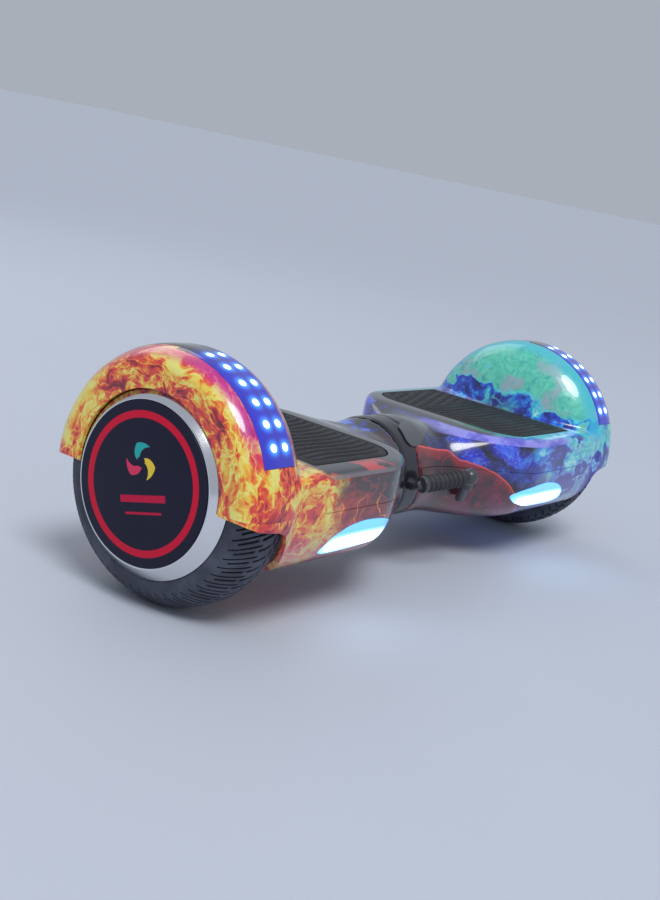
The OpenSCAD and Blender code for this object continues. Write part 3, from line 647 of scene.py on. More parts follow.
def ice_look():
    """Turquoise, cyan and blue round the wheel, dark and violet smoke towards the middle."""
    look, p = new_look("right_print")
    x, y, z = p.axes()
    radius, _ = p.polar()

    body, fine = streaks(p, (0.5, 1, 1), (14, 5))
    spread = x + p.warp(30, 20).noise(36).contrast(130)
    threads = body.thread(0.5, 0.035)
    hair = fine.thread(0.5, 0.04)
    cold = 0.48 + body.contrast(2.4) + fine.contrast(1)
    blues = cold.ramp(
        (0, (0.003, 0.006, 0.09)),
        (0.28, (0.006, 0.024, 0.38)),
        (0.5, (0.01, 0.11, 0.76)),
        (0.66, (0.02, 0.4, 0.86)),
        (0.82, (0.06, 0.76, 0.8)),
        (1, (0.52, 0.96, 0.92)),
    )

    # Turquoise wall of the arch with pale patches, and blue flames that lick up from the deck
    mint = mix((0.07, 0.56, 0.42), (0.15, 0.72, 0.53), fine.step(0.3, 0.7))
    pale = p.warp(14, 12).noise(26).step(0.5, 0.66)
    mint = mix(mint, (0.36, 0.46, 0.56), pale * 0.85)
    mint = mix(mint, (0.02, 0.4, 0.42), p.noise(8).step(0.56, 0.68) * 0.65)
    tear = p.warp(15, 16).stretch((1, 0.62, 1.5))
    lick = z - tear.noise(22, 4).contrast(92) - y * 0.1
    wall = mix(mint, blues, lick.step(134, 127))
    wall = mix(wall, (0.1, 0.82, 0.9), lick.thread(131, 3.6) * 0.75)
    wall = mix(wall, (0.05, 0.55, 0.72), radius.step(83, 91) * 0.75)

    # Along the front: charcoal smoke, then violet and blue, then cyan at the wheel
    smoke = p.swirl((0.55, 1, 1.2), 30).noise(26)
    high = z.step(84, 100).step(0, 1, 0.3, 1)
    cloud = smoke.step(0.38, 0.54) * spread.step(14, 60) * high
    violet = mix(CHARCOAL, (0.03, 0.03, 0.62), cloud)
    strong = smoke.step(0.52, 0.66) * spread.step(36, 76)
    violet = mix(violet, (0.06, 0.16, 0.96), strong)
    violet = mix(violet, (0.25, 0.5, 1), hair * cloud * 0.45)
    purple = mix((0.07, 0.05, 0.42), (0.16, 0.13, 0.7), body.step(0.4, 0.6))
    blues_and_purple = mix(blues, purple, z.step(96, 70, 0, 0.75))
    front = mix(violet, blues_and_purple, spread.step(112, 165))
    cyan = mix((0.05, 0.5, 0.62), (0.14, 0.78, 0.68), fine.step(0.4, 0.6))
    at_wheel = spread.step(165, 205) * z.step(86, 104, 0.25, 1)
    front = mix(front, cyan, at_wheel * body.step(0.44, 0.54))
    front = mix(front, (0.45, 0.92, 0.98), threads * spread.step(130, 190) * 0.55)

    # Red-rimmed smoke round the handle: its upper edge steps down, then falls away
    beyond = look.math("MAXIMUM", x - 50, 0)
    fall = look.math("POWER", beyond * (1 / 57), 2.6) * 21
    edge_z = 105 - x * 0.15 - (fall + x.step(42, 50, 0, 4.5))
    above = z - edge_z + p.noise(30, 2).contrast(5)
    in_front = y.step(6, -8)
    inside = above.step(1.2, -1.2) * in_front
    rim = above.thread(0, 1.1) * in_front
    ember = mix((0.045, 0.022, 0.03), (0.17, 0.016, 0.02), smoke.step(0.42, 0.62))
    glow = above.step(-9, 0) * 0.38
    ember = mix(ember, (0.55, 0.03, 0.03), glow)
    veins = p.swirl((0.8, 1, 1), 22).noise(18, 2).thread(0.5, 0.02)
    ember = mix(ember, (0.42, 0.022, 0.022), veins * 0.7)
    front = mix(front, ember, inside * 0.95)
    front = mix(front, (0.95, 0.1, 0.06), rim * 0.9)
    colour = mix(front, wall, x.step(203, 212) * z.step(106, 114))
    far_side = mix(blues, cyan, body.step(0.46, 0.56))
    colour = mix(colour, far_side, x.step(246, 256))

    # Deck border, and the pale violet band along its curved front edge
    on_deck = z.step(DECK_LEVEL - 2.6, DECK_LEVEL - 1.2) * x.step(212, 204)
    front_edge = spread.step(50, 110) * y.step(-50, -78)
    edge_print = mix((0.03, 0.07, 0.75), (0.1, 0.6, 0.8), body.step(0.45, 0.6))
    deck = mix(CHARCOAL, edge_print, front_edge)
    rear_edge = spread.step(90, 150) * y.step(72, 82)
    deck = mix(deck, (0.05, 0.52, 0.66), rear_edge)
    colour = mix(colour, deck, on_deck * x.step(40, 70))
    waist = x.step(70, 55) * z.step(108, 112)
    colour = mix(colour, CHARCOAL, waist * smoke.step(0.66, 0.6))
    band = z.band(DECK_LEVEL - 6.2, DECK_LEVEL - 1.4, 0.5) * x.band(50, 176, 9)
    violet_band = mix((0.14, 0.13, 0.7), (0.34, 0.32, 0.92), body.step(0.4, 0.6))
    colour = mix(colour, violet_band, band * in_front * 0.9)

    return look.surface(base_color=colour, **PRINT_FINISH)


# ---------- plainer materials ----------


def plastic_look(name, colour, rough=0.45, grain=0.6, coat=0):
    """Moulded plastic: slight tone change, fine grain, a little wear in the gloss."""
    look, p = new_look(name)
    tone = p.noise(30)
    dark = tuple(c * 0.86 for c in colour)
    fine = p.noise(grain, 2)
    return look.surface(
        base_color=mix(dark, colour, tone),
        roughness=p.noise(12).step(0.3, 0.7, rough - 0.05, rough + 0.06),
        coat_weight=coat,
        coat_roughness=0.06,
        normal=fine.bump(0.25, 0.00012),
    )


def rubber_look(name, colour, rough=0.72):
    """Rubber with dust on it."""
    look, p = new_look(name)
    dust = p.noise(22, 4)
    fine = p.noise(0.8, 2)
    light = tuple(c * 1.5 + 0.004 for c in colour)
    return look.surface(
        base_color=mix(colour, light, dust.step(0.45, 0.75)),
        roughness=dust.step(0.3, 0.7, rough - 0.08, rough + 0.1),
        normal=fine.bump(0.35, 0.00015),
    )


def metal_look(name, colour, rough, brushed=0, cast=0):
    """Metal: brushed along its length, or with a cast skin."""
    look, p = new_look(name)
    lines = p.stretch((0.03, 1, 1)).noise(0.5)
    skin = p.noise(1.1)
    tone = p.noise(18)
    height = lines * brushed + skin * cast
    dark = tuple(c * 0.8 for c in colour)
    return look.surface(
        base_color=mix(dark, colour, tone.step(0.3, 0.65)),
        metallic=1,
        roughness=(tone + lines * 0.3).step(0.4, 0.9, rough * 0.8, rough * 1.25),
        normal=height.bump(0.3, 0.0002),
    )


def board_look():
    """Circuit board: a green mask with tracks and pads."""
    look, p = new_look("circuit_board")
    x, y, _ = p.axes()
    flat = look.join(x, y, 0)
    tracks = flat.cells(7, "DISTANCE_TO_EDGE").step(0.05, 0.02)
    pads = flat.cells(4.5).step(0.2, 0.16)
    green = mix((0.008, 0.09, 0.035), (0.012, 0.15, 0.06), p.noise(16, 2))
    green = mix(green, (0.03, 0.28, 0.1), tracks)
    green = mix(green, (0.55, 0.5, 0.35), pads * 0.8)
    return look.surface(base_color=green, roughness=0.38, normal=tracks.bump(0.2, 0.0001))


def winding_look():
    """Enamelled copper wire laid in turns."""
    look, p = new_look("copper")
    radius, angle = p.polar()
    turns = look.math("SINE", angle * 3 + radius * 0.9)
    colour = mix((0.3, 0.11, 0.04), (0.8, 0.38, 0.16), turns.step(-0.6, 0.8))
    return look.surface(base_color=colour, metallic=1, roughness=0.32, normal=turns.bump(0.6, 0.0005))


def wrap_look():
    """Shrink-wrapped battery: blue film, wrinkled across the cells."""
    look, p = new_look("battery_wrap")
    wrinkle = p.stretch((1, 0.25, 1)).noise(7)
    colour = mix((0.015, 0.06, 0.25), (0.03, 0.14, 0.48), wrinkle.step(0.35, 0.65))
    return look.surface(
        base_color=colour, roughness=0.3, coat_weight=0.5, normal=wrinkle.bump(0.5, 0.0008)
    )


def tyre_look():
    """Dusty dark rubber with painted shade darkening its cuts, and fine rings on the walls."""
    look, p = new_look("tyre")
    radius, _ = p.polar()
    fine = p.noise(0.9, 2)
    dust = p.noise(17, 4)
    colour = mix((0.048, 0.053, 0.078), (0.088, 0.096, 0.134), dust.step(0.35, 0.7))
    # Painted shade: darker where the tread is cut deeper
    colour = mix(colour, (0.006, 0.007, 0.011), look.attribute("cut").step(0.1, 0.7))
    rings = look.math("SINE", radius * 2.6)
    height = fine * 0.6 + radius.step(81, 78) * (rings * 0.35)
    return look.surface(base_color=colour, roughness=0.66, normal=height.bump(0.35, 0.0003))


def chrome_look():
    """Polished rim with faint turning marks."""
    look, p = new_look("chrome_rim")
    radius, _ = p.polar()
    turned = look.join(radius, 0, 0).noise(0.35, 2)
    return look.surface(
        base_color=mix((0.7, 0.71, 0.74), (0.84, 0.85, 0.87), p.noise(40, 2)),
        metallic=1,
        roughness=turned.step(0.3, 0.7, 0.1, 0.2),
        normal=turned.bump(0.08, 0.00005),
    )


# How far each wheel has rolled from its printed disc standing upright, in degrees
DISC_TURN = {LEFT: 16, RIGHT: 0}


def face_look(side):
    """Printed disc: a crimson ring, a plain three-bladed swirl and two bars."""
    look, p = new_look(SIDE_NAME[side] + "_face")
    _, y, z = p.axes()
    radius, _ = p.polar()
    flat_y = y * side
    flat_z = z - AXLE_H
    tilt = math.radians(DISC_TURN[side])
    across = flat_y * math.cos(tilt) + flat_z * math.sin(tilt)
    up = flat_z * math.cos(tilt) - flat_y * math.sin(tilt)
    base = mix((0.007, 0.007, 0.022), (0.012, 0.012, 0.036), p.noise(30, 2))
    ring = radius.band(44.5, 49.5, 0.25)
    colour = mix(base, (0.66, 0.004, 0.036), ring)
    # Swirl, in its own polar coordinates
    sy = up - 15
    sr = look.length(across, sy)
    sa = look.math("ARCTAN2", sy, across)
    turn = sa + sr * 0.1
    blade = look.math("SINE", turn * 3)
    blades = blade.step(0.1, 0.22) * sr.step(13.2, 12.8) * sr.step(3.4, 3.8)
    hue = look.math("FRACT", turn * (1 / (2 * math.pi)) + 1)
    tint = mix((0.85, 0.62, 0.05), (0.02, 0.42, 0.4), hue.step(0.32, 0.34))
    tint = mix(tint, (0.75, 0.04, 0.12), hue.step(0.65, 0.67))
    colour = mix(colour, tint, blades)
    # Bars below it
    wide = across.band(-20, 20, 0.3) * up.band(-12.2, -7.4, 0.3)
    thin = across.band(-16, 16, 0.3) * up.band(-20.4, -18.8, 0.3)
    colour = mix(colour, (0.58, 0.005, 0.05), look.math("MAXIMUM", wide, thin))
    return look.surface(base_color=colour, roughness=0.42, specular_ior_level=0.25)


def strip_look():
    """Tinted strip: lit dark blue with bright lamps, and a plain black tail."""
    look, p = new_look("light_strip")
    x, _, _ = p.axes()
    ax = abs(x)
    _, angle = p.polar()
    lit = angle.step(TAIL_END + 2, TAIL_END + 16)
    arc = look.math("PINGPONG", angle - LAMP_ANGLES[0], 5)
    inside = angle.band(LAMP_ANGLES[0] - 5, LAMP_ANGLES[-1] + 5, 0.2)
    along = arc * (ARCH_R * math.pi / 180)
    across = look.math("MINIMUM", *[abs(ax - lx) for lx in LAMP_X])
    away = look.length(along, across)
    spot = away.step(3.3, 1.9) * inside
    halo = away.step(9.5, 1.5) * inside
    blue = mix((0.008, 0.01, 0.12), (0.022, 0.035, 0.5), p.noise(16, 2))
    colour = mix((0.008, 0.008, 0.012), blue, lit)
    glow = mix((0.045, 0.03, 0.8), (0.05, 0.34, 1), halo)
    glow = mix(glow, (0.62, 0.96, 1), spot)
    power = lit * 0.3 + (halo * halo * 1.3 + spot * 6)
    return look.surface(
        base_color=colour,
        roughness=0.16,
        coat_weight=1,
        coat_roughness=0.03,
        emission_color=glow,
        emission_strength=power,
    )


def headlight_look():
    """Frosted lens, brightest in its middle."""
    look, p = new_look("headlight")
    x, _, z = p.axes()
    ax = abs(x)
    line = 56.5 + LIFT + abs(ax - 150) * -0.02
    off = abs(z - line)
    core = off.step(9.5, 1) * ax.band(112, 186, 12)
    ribs = look.math("SINE", ax * 1.1)
    glow = mix((0.06, 0.42, 1), (0.74, 0.96, 1), core)
    power = 1.1 + core * ribs.step(-1, 1, 3.6, 6)
    return look.surface(
        base_color=mix((0.25, 0.55, 0.8), (0.85, 0.97, 1), core),
        roughness=0.12,
        coat_weight=1,
        coat_roughness=0.02,
        emission_color=glow,
        emission_strength=power,
        normal=ribs.bump(0.25, 0.0006),
    )


def lamp_look():
    look, p = new_look("lamp")
    glow = mix((0.55, 0.92, 1), (0.9, 1, 1), p.noise(2, 2))
    return look.surface(
        base_color=(0.9, 0.95, 0.9), roughness=0.3, emission_color=glow, emission_strength=4
    )


PLAIN_LOOKS = (
    metal_look("cast_frame", (0.6, 0.61, 0.63), 0.48, cast=0.9),
    rubber_look("pad_rubber", (0.016, 0.017, 0.02), 0.56),
    board_look(),
    strip_look(),
    lamp_look(),
    headlight_look(),
    metal_look("steel", (0.56, 0.57, 0.59), 0.3, brushed=0.8),
    metal_look("dark_steel", (0.1, 0.1, 0.11), 0.42, brushed=0.5),
    winding_look(),
    rubber_look("black_rubber", (0.03, 0.031, 0.035), 0.55),
    tyre_look(),
    chrome_look(),
    plastic_look("bush", (0.72, 0.69, 0.6), 0.5),
    plastic_look("collar", (0.009, 0.01, 0.017), 0.28, coat=0.5),
    plastic_look("panel", (0.06, 0.061, 0.073), 0.2, coat=1),
    wrap_look(),
    plastic_look("black_plastic", (0.022, 0.022, 0.025), 0.5),
    metal_look("button_metal", (0.62, 0.63, 0.66), 0.25, brushed=0.9),
    plastic_look("handle_plastic", (0.06, 0.062, 0.07), 0.36, coat=0.4),
)
LOOKS = {look.name: look for look in PLAIN_LOOKS}
LOOKS["left_casing"] = fire_look()
LOOKS["right_casing"] = ice_look()


def finish_piece(obj, look_name, body, replaced, side=None, hard=32, look=None):
    """Places and paints a mesh, and ties it to its body and the CAD that it stands for.

    With a side, body and CAD nodes are named without it.
    """
    start = SIDE_NAME[side] + "_" if side else ""
    place(obj, side or RIGHT)
    crease(obj, hard)
    paint(obj, look or LOOKS[look_name])
    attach(obj, start + body)
    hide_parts(*[start + node for node in replaced])


# ---------- casings and arches ----------


def eye_outline(grow):
    """Outline (x, z) of a headlight, rounded and grown."""
    corners = [
        [196, 52], [186, 64], [170, 70.5], [150, 73], [129, 72], [112, 68.5],
        [98, 62], [108, 55], [122, 51.5], [146, 49.5], [168, 48.5], [186, 49],
    ]
    pts = soften_outline(corners, 0.2)
    edge = np.roll(pts, -1, 0) - np.roll(pts, 1, 0)
    normal = np.stack([-edge[:, 1], edge[:, 0]], 1)
    normal /= np.linalg.norm(normal, axis=1)[:, None]
    centre = pts.mean(0)
    flip = np.sign(((pts - centre) * normal).sum(1))[:, None]
    return pts + normal * flip * grow


def eye_prism(name, grow):
    """The headlight's outline, run through the front of the body."""
    return prism(name, eye_outline(grow), -REACH, -40, axis=1)


def pad_half_width(x, grow=0):
    """Half width of the pad's outline at x."""
    reach = PAD_CORNER + grow
    d = np.clip(PAD_X[0] + PAD_CORNER - x, 0, reach)
    return PAD_W - PAD_CORNER + np.sqrt(np.maximum(reach**2 - d**2, 0))


def pad_outline(grow):
    """Closed outline (x, y) of the pad, grown on all sides."""
    xs = PAD_X[0] - grow + (PAD_CORNER + grow) * (1 - np.cos(np.radians(np.linspace(0, 90, 24))))
    ys = pad_half_width(xs, grow)
    end = PAD_X[1] + grow
    rear = np.column_stack([xs, ys])
    return np.concatenate([rear, [[end, PAD_W + grow], [end, -PAD_W - grow]], (rear * [1, -1])[::-1]])


def skirt_cutter():
    """Everything below the arch's lower edge, which rises from the belly to the wheel's face."""
    edge = [
        [211, -20], [213, 29], [219, 33], [226, 38.5], [233, 44.5], [238.5, 51], [241.8, 57],
        [243.3, 63], [244.6, 68], [247.5, 72], [252, 75.2], [257, 77], [266, 78.2], [277, 79.2],
        [284, 81.5], [292, 84.6], [300, 88], [300, -20],
    ]
    return prism("skirt_cutter", edge, -REACH, REACH, axis=1)


def body_master(x0):
    """Solid body and arch of one side as one softly blended form."""
    body = loft("body_master", x0, FAIRING_END)
    arch = spin("arch", arch_profile(0))
    join(body, arch)
    return remesh(body, voxel=1.7, smooth_steps=6)


def casing_pieces(side):
    """Upper casing with its arch, lower casing and headlight lens of one side."""
    name = SIDE_NAME[side]
    x0 = LEFT_START if side == LEFT else 0
    hub = (0, AXLE_Z)
    master = body_master(x0)
    cavity = loft("cavity", x0 + WALL_T, CASING_END - WALL_T, WALL_T)
    lens = copy(master, name + "_lens")
    cut(master, skirt_cutter(), cavity)
    cut(
        master,
        spin("arch_void", arch_profile(ARCH_T)),
        tube("opening", (ARCH_X - 9, *hub), (ARCH_X + 5, *hub), OPENING_R, 256),
        tube("axle_hole", (CASING_END - 8, *hub), (CASING_END + 14, *hub), AXLE_HOLE_R),
        tube("pivot_hole", (x0 - 2, 0, PIVOT_Z), (x0 + WALL_T + 1, 0, PIVOT_Z), PIVOT_HOLE_R, 96),
        prism("pad_seat", pad_outline(grow=0.6), SEAT_Z, DECK_Z + 20),
        strip_solid("strip_groove", -2, 1.8, grow=0.25),
        eye_prism("eye", grow=0.35),
    )
    if side == RIGHT:
        for at in (PORT_X, BUTTON_X):
            seat, outside = (at, REAR_SEAT_Y, REAR_Z), (at, REACH, REAR_Z)
            cut(master, tube("fitting_hole", seat, outside, FITTING_R))
            cut(master, tube("fitting_bore", (at, REAR_SEAT_Y - 12, REAR_Z), outside, FITTING_BORE_R))
    for px, py in SCREWS:
        cut(master, tube("screw_well", (px, py, 20), (px, py, WELL_Z), WELL_R, 32))
    upper = copy(master, name + "_cover")
    cut(upper, box("below", (x0 - 5, -REACH, 0), (CASING_END, REACH, SPLIT_Z + SEAM)))
    lower = master
    lower.name = name + "_underbody"
    cut(lower, box("above", (x0 - 5, -REACH, SPLIT_Z - SEAM), (320, REACH, 200)))
    cut(lower, box("beyond", (CASING_END - 0.05, -REACH, 0), (320, REACH, 200)))
    # The lens is a plug of the same skin
    combine(lens, eye_prism("eye", grow=0), "INTERSECT")
    cut(lens, loft("behind", x0 + 10, CASING_END - 1, 4))
    finish_piece(upper, name + "_casing", "half", ["upper_shell", "wheel_arch"], side)
    finish_piece(lower, name + "_casing", "half", ["lower_shell"], side)
    finish_piece(lens, "headlight", "half", ["headlight_lens"], side)


# ---------- light strip ----------


def strip_solid(name, depth0, depth1, grow):
    """Layer of the arch's skin that the light strip fills, wide over the front and narrow in its tail."""
    parts = []
    spans = (
        (STRIP_ANGLES[0] - grow, TAIL_END, STRIP_X[0] + 6, STRIP_X[1] - 4),
        (TAIL_END - 0.5, STRIP_ANGLES[1] + grow, STRIP_X[0], STRIP_X[1]),
    )
    for a0, a1, x0, x1 in spans:
        outer = layer_points(depth0, x0 - grow, x1 + grow)
        inner = layer_points(depth1, x0 - grow, x1 + grow)[::-1]
        parts.append(spin(name, np.concatenate([outer, inner]), 720, a0, a1 - a0))
    combine(parts[0], parts[1], "UNION")
    parts[0].name = name
    return parts[0]


def layer_points(depth, x0, x1):
    """Points (radius, x) of the arch's crown between two stations, moved inwards by depth."""
    profile = arch_profile(depth)
    profile = profile[profile[:, 0] > 60]
    xs = np.linspace(x0, x1, 24)
    return np.column_stack([np.interp(xs, profile[:, 1], profile[:, 0]), xs])


def strip_piece(side):
    """The light strip, flush in the arch's skin."""
    strip = strip_solid(SIDE_NAME[side] + "_lightbar", 0, 1.5, 0)
    finish_piece(strip, "light_strip", "half", ["light_strip"], side, 40)


# ---------- foot pad ----------

PAD_PLAY = 0.2  # between the mat and the edge of its seat
PAD_EDGE_R = 2.2
RIDGE = 1.3
PAD_GRID = (190, 250)


def ridge_height(x, y):
    """Height of the grip pattern: long wavy ridges in front, short slanted cleats behind."""
    wave = y + 3.2 * np.sin((x - 90) / 19) + 0.1 * (x - 90)
    long_ridge = np.clip(1.6 * np.cos(2 * math.pi * wave / 7.4) + 0.25, 0, 1)
    cleat_row = np.clip(2.2 * np.cos(2 * math.pi * (y - 0.35 * x) / 9) + 0.2, 0, 1)
    cleat_cut = np.clip(2.5 * np.cos(2 * math.pi * (x + 0.5 * y) / 17) + 1, 0, 1)
    blend = ease(18, 30, y)
    return long_ridge * (1 - blend) + cleat_row * cleat_cut * blend


def pad_top(x, y):
    """Height of the pad's top: rounded edge, plain margin with a low rim, ridged field."""
    corner, flank = PAD_X[0] + PAD_CORNER, PAD_W - PAD_CORNER
    reach = np.hypot(np.maximum(corner - x, 0), np.maximum(np.abs(y) - flank, 0))
    edge = np.where(
        (x < corner) & (np.abs(y) > flank),
        PAD_CORNER - PAD_PLAY - reach,
        np.minimum(PAD_W - PAD_PLAY - np.abs(y), x - PAD_X[0] - PAD_PLAY),
    )
    edge = np.maximum(np.minimum(edge, PAD_X[1] - PAD_PLAY - x), 0)
    fall = PAD_EDGE_R - np.sqrt(np.maximum(PAD_EDGE_R**2 - np.maximum(PAD_EDGE_R - edge, 0) ** 2, 0))
    rim = np.exp(-(((edge - 3.6) / 1.1) ** 2)) * 0.5
    field = ease(6, 8, edge)
    return PAD_TOP - RIDGE + rim - fall + field * (RIDGE * ridge_height(x, y) - 0.25)


def pad_piece(side):
    """Rubber mat: a fine grid over its ridged top, then walls and a flat base."""
    nx, ny = PAD_GRID
    # Stations across the pad, closer together at its edges
    across = 0.35 * np.sin(np.radians(np.linspace(-90, 90, ny) * 0.999)) + 0.65 * np.linspace(-1, 1, ny)
    across /= abs(across[0])
    tops = []
    for x in np.linspace(PAD_X[0] + PAD_PLAY, PAD_X[1] - PAD_PLAY, nx):
        y = across * float(pad_half_width(x, -PAD_PLAY))
        tops.append(np.column_stack([np.full(ny, x), y, pad_top(x, y)]))
    points = np.concatenate(tops)
    grid = np.arange(nx * ny).reshape(nx, ny)
    quads = (grid[:-1, :-1], grid[1:, :-1], grid[1:, 1:], grid[:-1, 1:])
    faces = np.stack([corner.ravel() for corner in quads], 1).tolist()
    loop = np.concatenate([grid[:, 0], grid[-1, 1:], grid[-2::-1, -1], grid[0, -2:0:-1]])
    base = points[loop]
    base[:, 2] = PAD_BASE
    below = len(points) + np.arange(len(loop))
    faces += np.stack([loop, np.roll(loop, -1), np.roll(below, -1), below], 1).tolist()
    faces.append(below.tolist())
    pad = mesh_object(SIDE_NAME[side] + "_grip_mat", np.concatenate([points, base]), faces)
    finish_piece(pad, "pad_rubber", "pad", ["footpad"], side, 50)


# ---------- wheel ----------

TYRE_MID = 262
SIPES = 62
SIPE_DEPTH = 1.9
TREAD_EDGE_R = 75.5
# First and last station, first and last phase, share of the depth
TREAD_CUTS = (
    (262, 279.5, 0.02, 0.21, 1),
    (265.5, 276.5, 0.52, 0.69, 0.8),
    (253, 263, 0.52, 0.69, 0.9),
    (244.5, 249.5, 0.02, 0.21, 0.7),
    (238.6, 241.5, 0.02, 0.21, 0.7),
    (249.85, 251.75, 0.05, 0.72, 1),
    (242.5, 244.3, 0.3, 0.95, 0.9),
)


def tyre_profile():
    """Outer points (radius, x) of the tyre from the inner bead to the outer bead."""
    corners = np.array([
        [RIM_R, 238.6], [72, 237.8], [77, 237.6], [81, 238.6], [84.4, 240.6], [86.6, 243.2],
        [87.7, 246.4], [88, 250], [88, 254], [88, 258], [87.6, 261.6], [86.6, 265.2], [84.9, 268.8],
        [82.6, 272.4], [79.8, 275.8], [76.4, 278.8], [72.2, 280.4], [RIM_R + 0.3, 280.8],
    ])
    # Even spacing along the line
    length = np.concatenate([[0], np.cumsum(np.linalg.norm(np.diff(corners, axis=0), axis=1))])
    s = np.linspace(0, length[-1], 96)
    return np.column_stack([np.interp(s, length, column) for column in corners.T])


def tread_depth(x, r, phase):
    """How deep the tread is cut at station x; phase is 0..1 within one sipe's pitch."""
    depth = np.zeros_like(phase)
    if r > TREAD_EDGE_R:
        for x0, x1, start, end, share in TREAD_CUTS:
            if x0 < x < x1:
                depth[(phase > start) & (phase < end)] = SIPE_DEPTH * share
    return depth


def axle_ring(r, x, angles):
    """Points round the axle at station x."""
    return np.column_stack([np.full(len(angles), x), r * np.cos(angles), AXLE_Z + r * np.sin(angles)])


def tyre_piece(side):
    """The tyre with its tread, which also marks where it is cut."""
    marks = np.array([0, 0.02, 0.045, 0.185, 0.21, 0.3, 0.42, 0.52, 0.54, 0.67, 0.69, 0.76, 0.88])
    grid = (np.arange(SIPES)[:, None] + marks[None, :]).ravel() / SIPES * 360
    phases = np.tile(marks, SIPES)
    rings, cuts = [], []
    for r, x in tyre_profile():
        off = x - TYRE_MID
        depth = tread_depth(x, r, phases + 1e-4)
        rings.append(axle_ring(r - depth, x, np.radians(grid + 0.16 * off + 0.012 * off * abs(off))))
        cuts.append(depth / SIPE_DEPTH)
    # Inner side, against the rim
    for x in (280.4, 260, 239):
        rings.append(axle_ring(RIM_R, x, np.radians(grid)))
        cuts.append(np.zeros(len(grid)))
    tyre = rings_to_mesh(SIDE_NAME[side] + "_tread", rings, joined=True)
    cut = tyre.data.attributes.new("cut", "FLOAT", "POINT")
    cut.data.foreach_set("value", np.concatenate(cuts).astype(np.float32))
    finish_piece(tyre, "tyre", "wheel", ["tyre"], side, 38)


def rounded(points, radius, steps=5):
    """Rounds the corners of a closed (radius, x) outline."""
    pts = np.asarray(points, float)
    out = []
    n = len(pts)
    for i in range(n):
        p, a, b = pts[i], pts[i - 1], pts[(i + 1) % n]
        u, v = a - p, b - p
        lu, lv = np.linalg.norm(u), np.linalg.norm(v)
        cut_back = min(radius, lu * 0.45, lv * 0.45)
        p0, p1 = p + u / lu * cut_back, p + v / lv * cut_back
        for t in np.linspace(0, 1, steps):
            out.append((1 - t) ** 2 * p0 + 2 * t * (1 - t) * p + t**2 * p1)
    return np.array(out)


def wheel_trim(side):
    """The polished ring and the printed disc of one wheel."""
    name = SIDE_NAME[side]
    cover = rounded(
        [
            [19, 278.2], [RIM_R - 0.2, 278.2], [RIM_R - 0.2, 281.2], [PLATE_R + 2.4, 289.2],
            [PLATE_R + 1.4, 290.2], [PLATE_R + 0.2, 290.2], [PLATE_R + 0.2, 284], [12, 284],
            [12, 281], [14, 281], [14, 269], [19, 269],
        ],
        0.7,
    )
    rim = spin(name + "_rim_ring", cover, 288)
    finish_piece(rim, "chrome_rim", "wheel", ["rim_cover"], side, 30)
    disc = rounded([[0, 284.1], [PLATE_R, 284.1], [PLATE_R, FACE_X], [0, FACE_X]], 0.5)
    disc = disc[disc[:, 0] > 0.3]
    disc = np.concatenate([[[0, 284.1]], disc[disc[:, 0] > 1], [[0, FACE_X]]])
    plate = spin(name + "_face_disc", disc, 288)
    finish_piece(plate, "face_plate", "wheel", ["face_plate"], side, 30, face_look(side))


# ---------- middle of the board ----------


def collar_piece():
    """The round collar between the halves."""
    x0, x1 = 0.6 - LEFT_START, -0.3
    xs = [x0, x0 + 0.5, x0 + 1.5, x0 + 3, x0 + 6, -12, -6, -3, -1.6, -0.8, x1]
    rings = []
    for x in xs:
        edge = min(x - x0, x1 - x)
        drop_in = 1.2 * (1 - ease(0, 2.2, edge)) + 0.1
        rings.append(section_at(x, 0, drop_in, 240))
    collar = rings_to_mesh("collar_ring", rings)
    cut(collar, tube("bore", (x0 - 2, 0, PIVOT_Z), (2, 0, PIVOT_Z), PIVOT_HOLE_R, 96))
    finish_piece(collar, "collar", "right_half", ["centre_collar"], hard=35)


def waist_skin(name, x0, x1, grow):
    """Solid of the waist's section between two stations, grown outwards."""
    xs = np.linspace(x0, x1, 70)
    return rings_to_mesh(name, [section_at(x, abs(x), -grow, 260) for x in xs])


def panel_piece():
    """Leaf-shaped glossy cover across the collar's seam."""
    corners = [
        [-11, -3], [-9.5, 4], [-8, 10.6], [2, 15], [18, 16.8], [34, 18], [44, 17.2], [48.5, 14.5],
        [46, 10.5], [38, 6.5], [30, 2.6], [14.7, -5.1], [8, -8.6], [2.2, -10.5], [-5.4, -10.2],
        [-9.5, -7.5],
    ]
    outer = waist_skin("leaf_panel", -12, 50, 1.1)
    cut(outer, waist_skin("leaf_inside", -15, 53, 0.2))
    tool = prism("leaf_cutter", soften_outline(corners, 0.22), -14, 26)
    tool.data.transform(Matrix.Translation((0, -25, 105)) @ Matrix.Rotation(math.radians(34.8), 4, "X"))
    combine(outer, tool, "INTERSECT")
    finish_piece(outer, "panel", "right_half", ["indicator_panel"], hard=40)


GRIP = (Vector((-22, -59, 77)), Vector((30, -74, 84)))
NECK_ROOT, NECK_R = (-13.5, -45.7, 70.5), 3.2


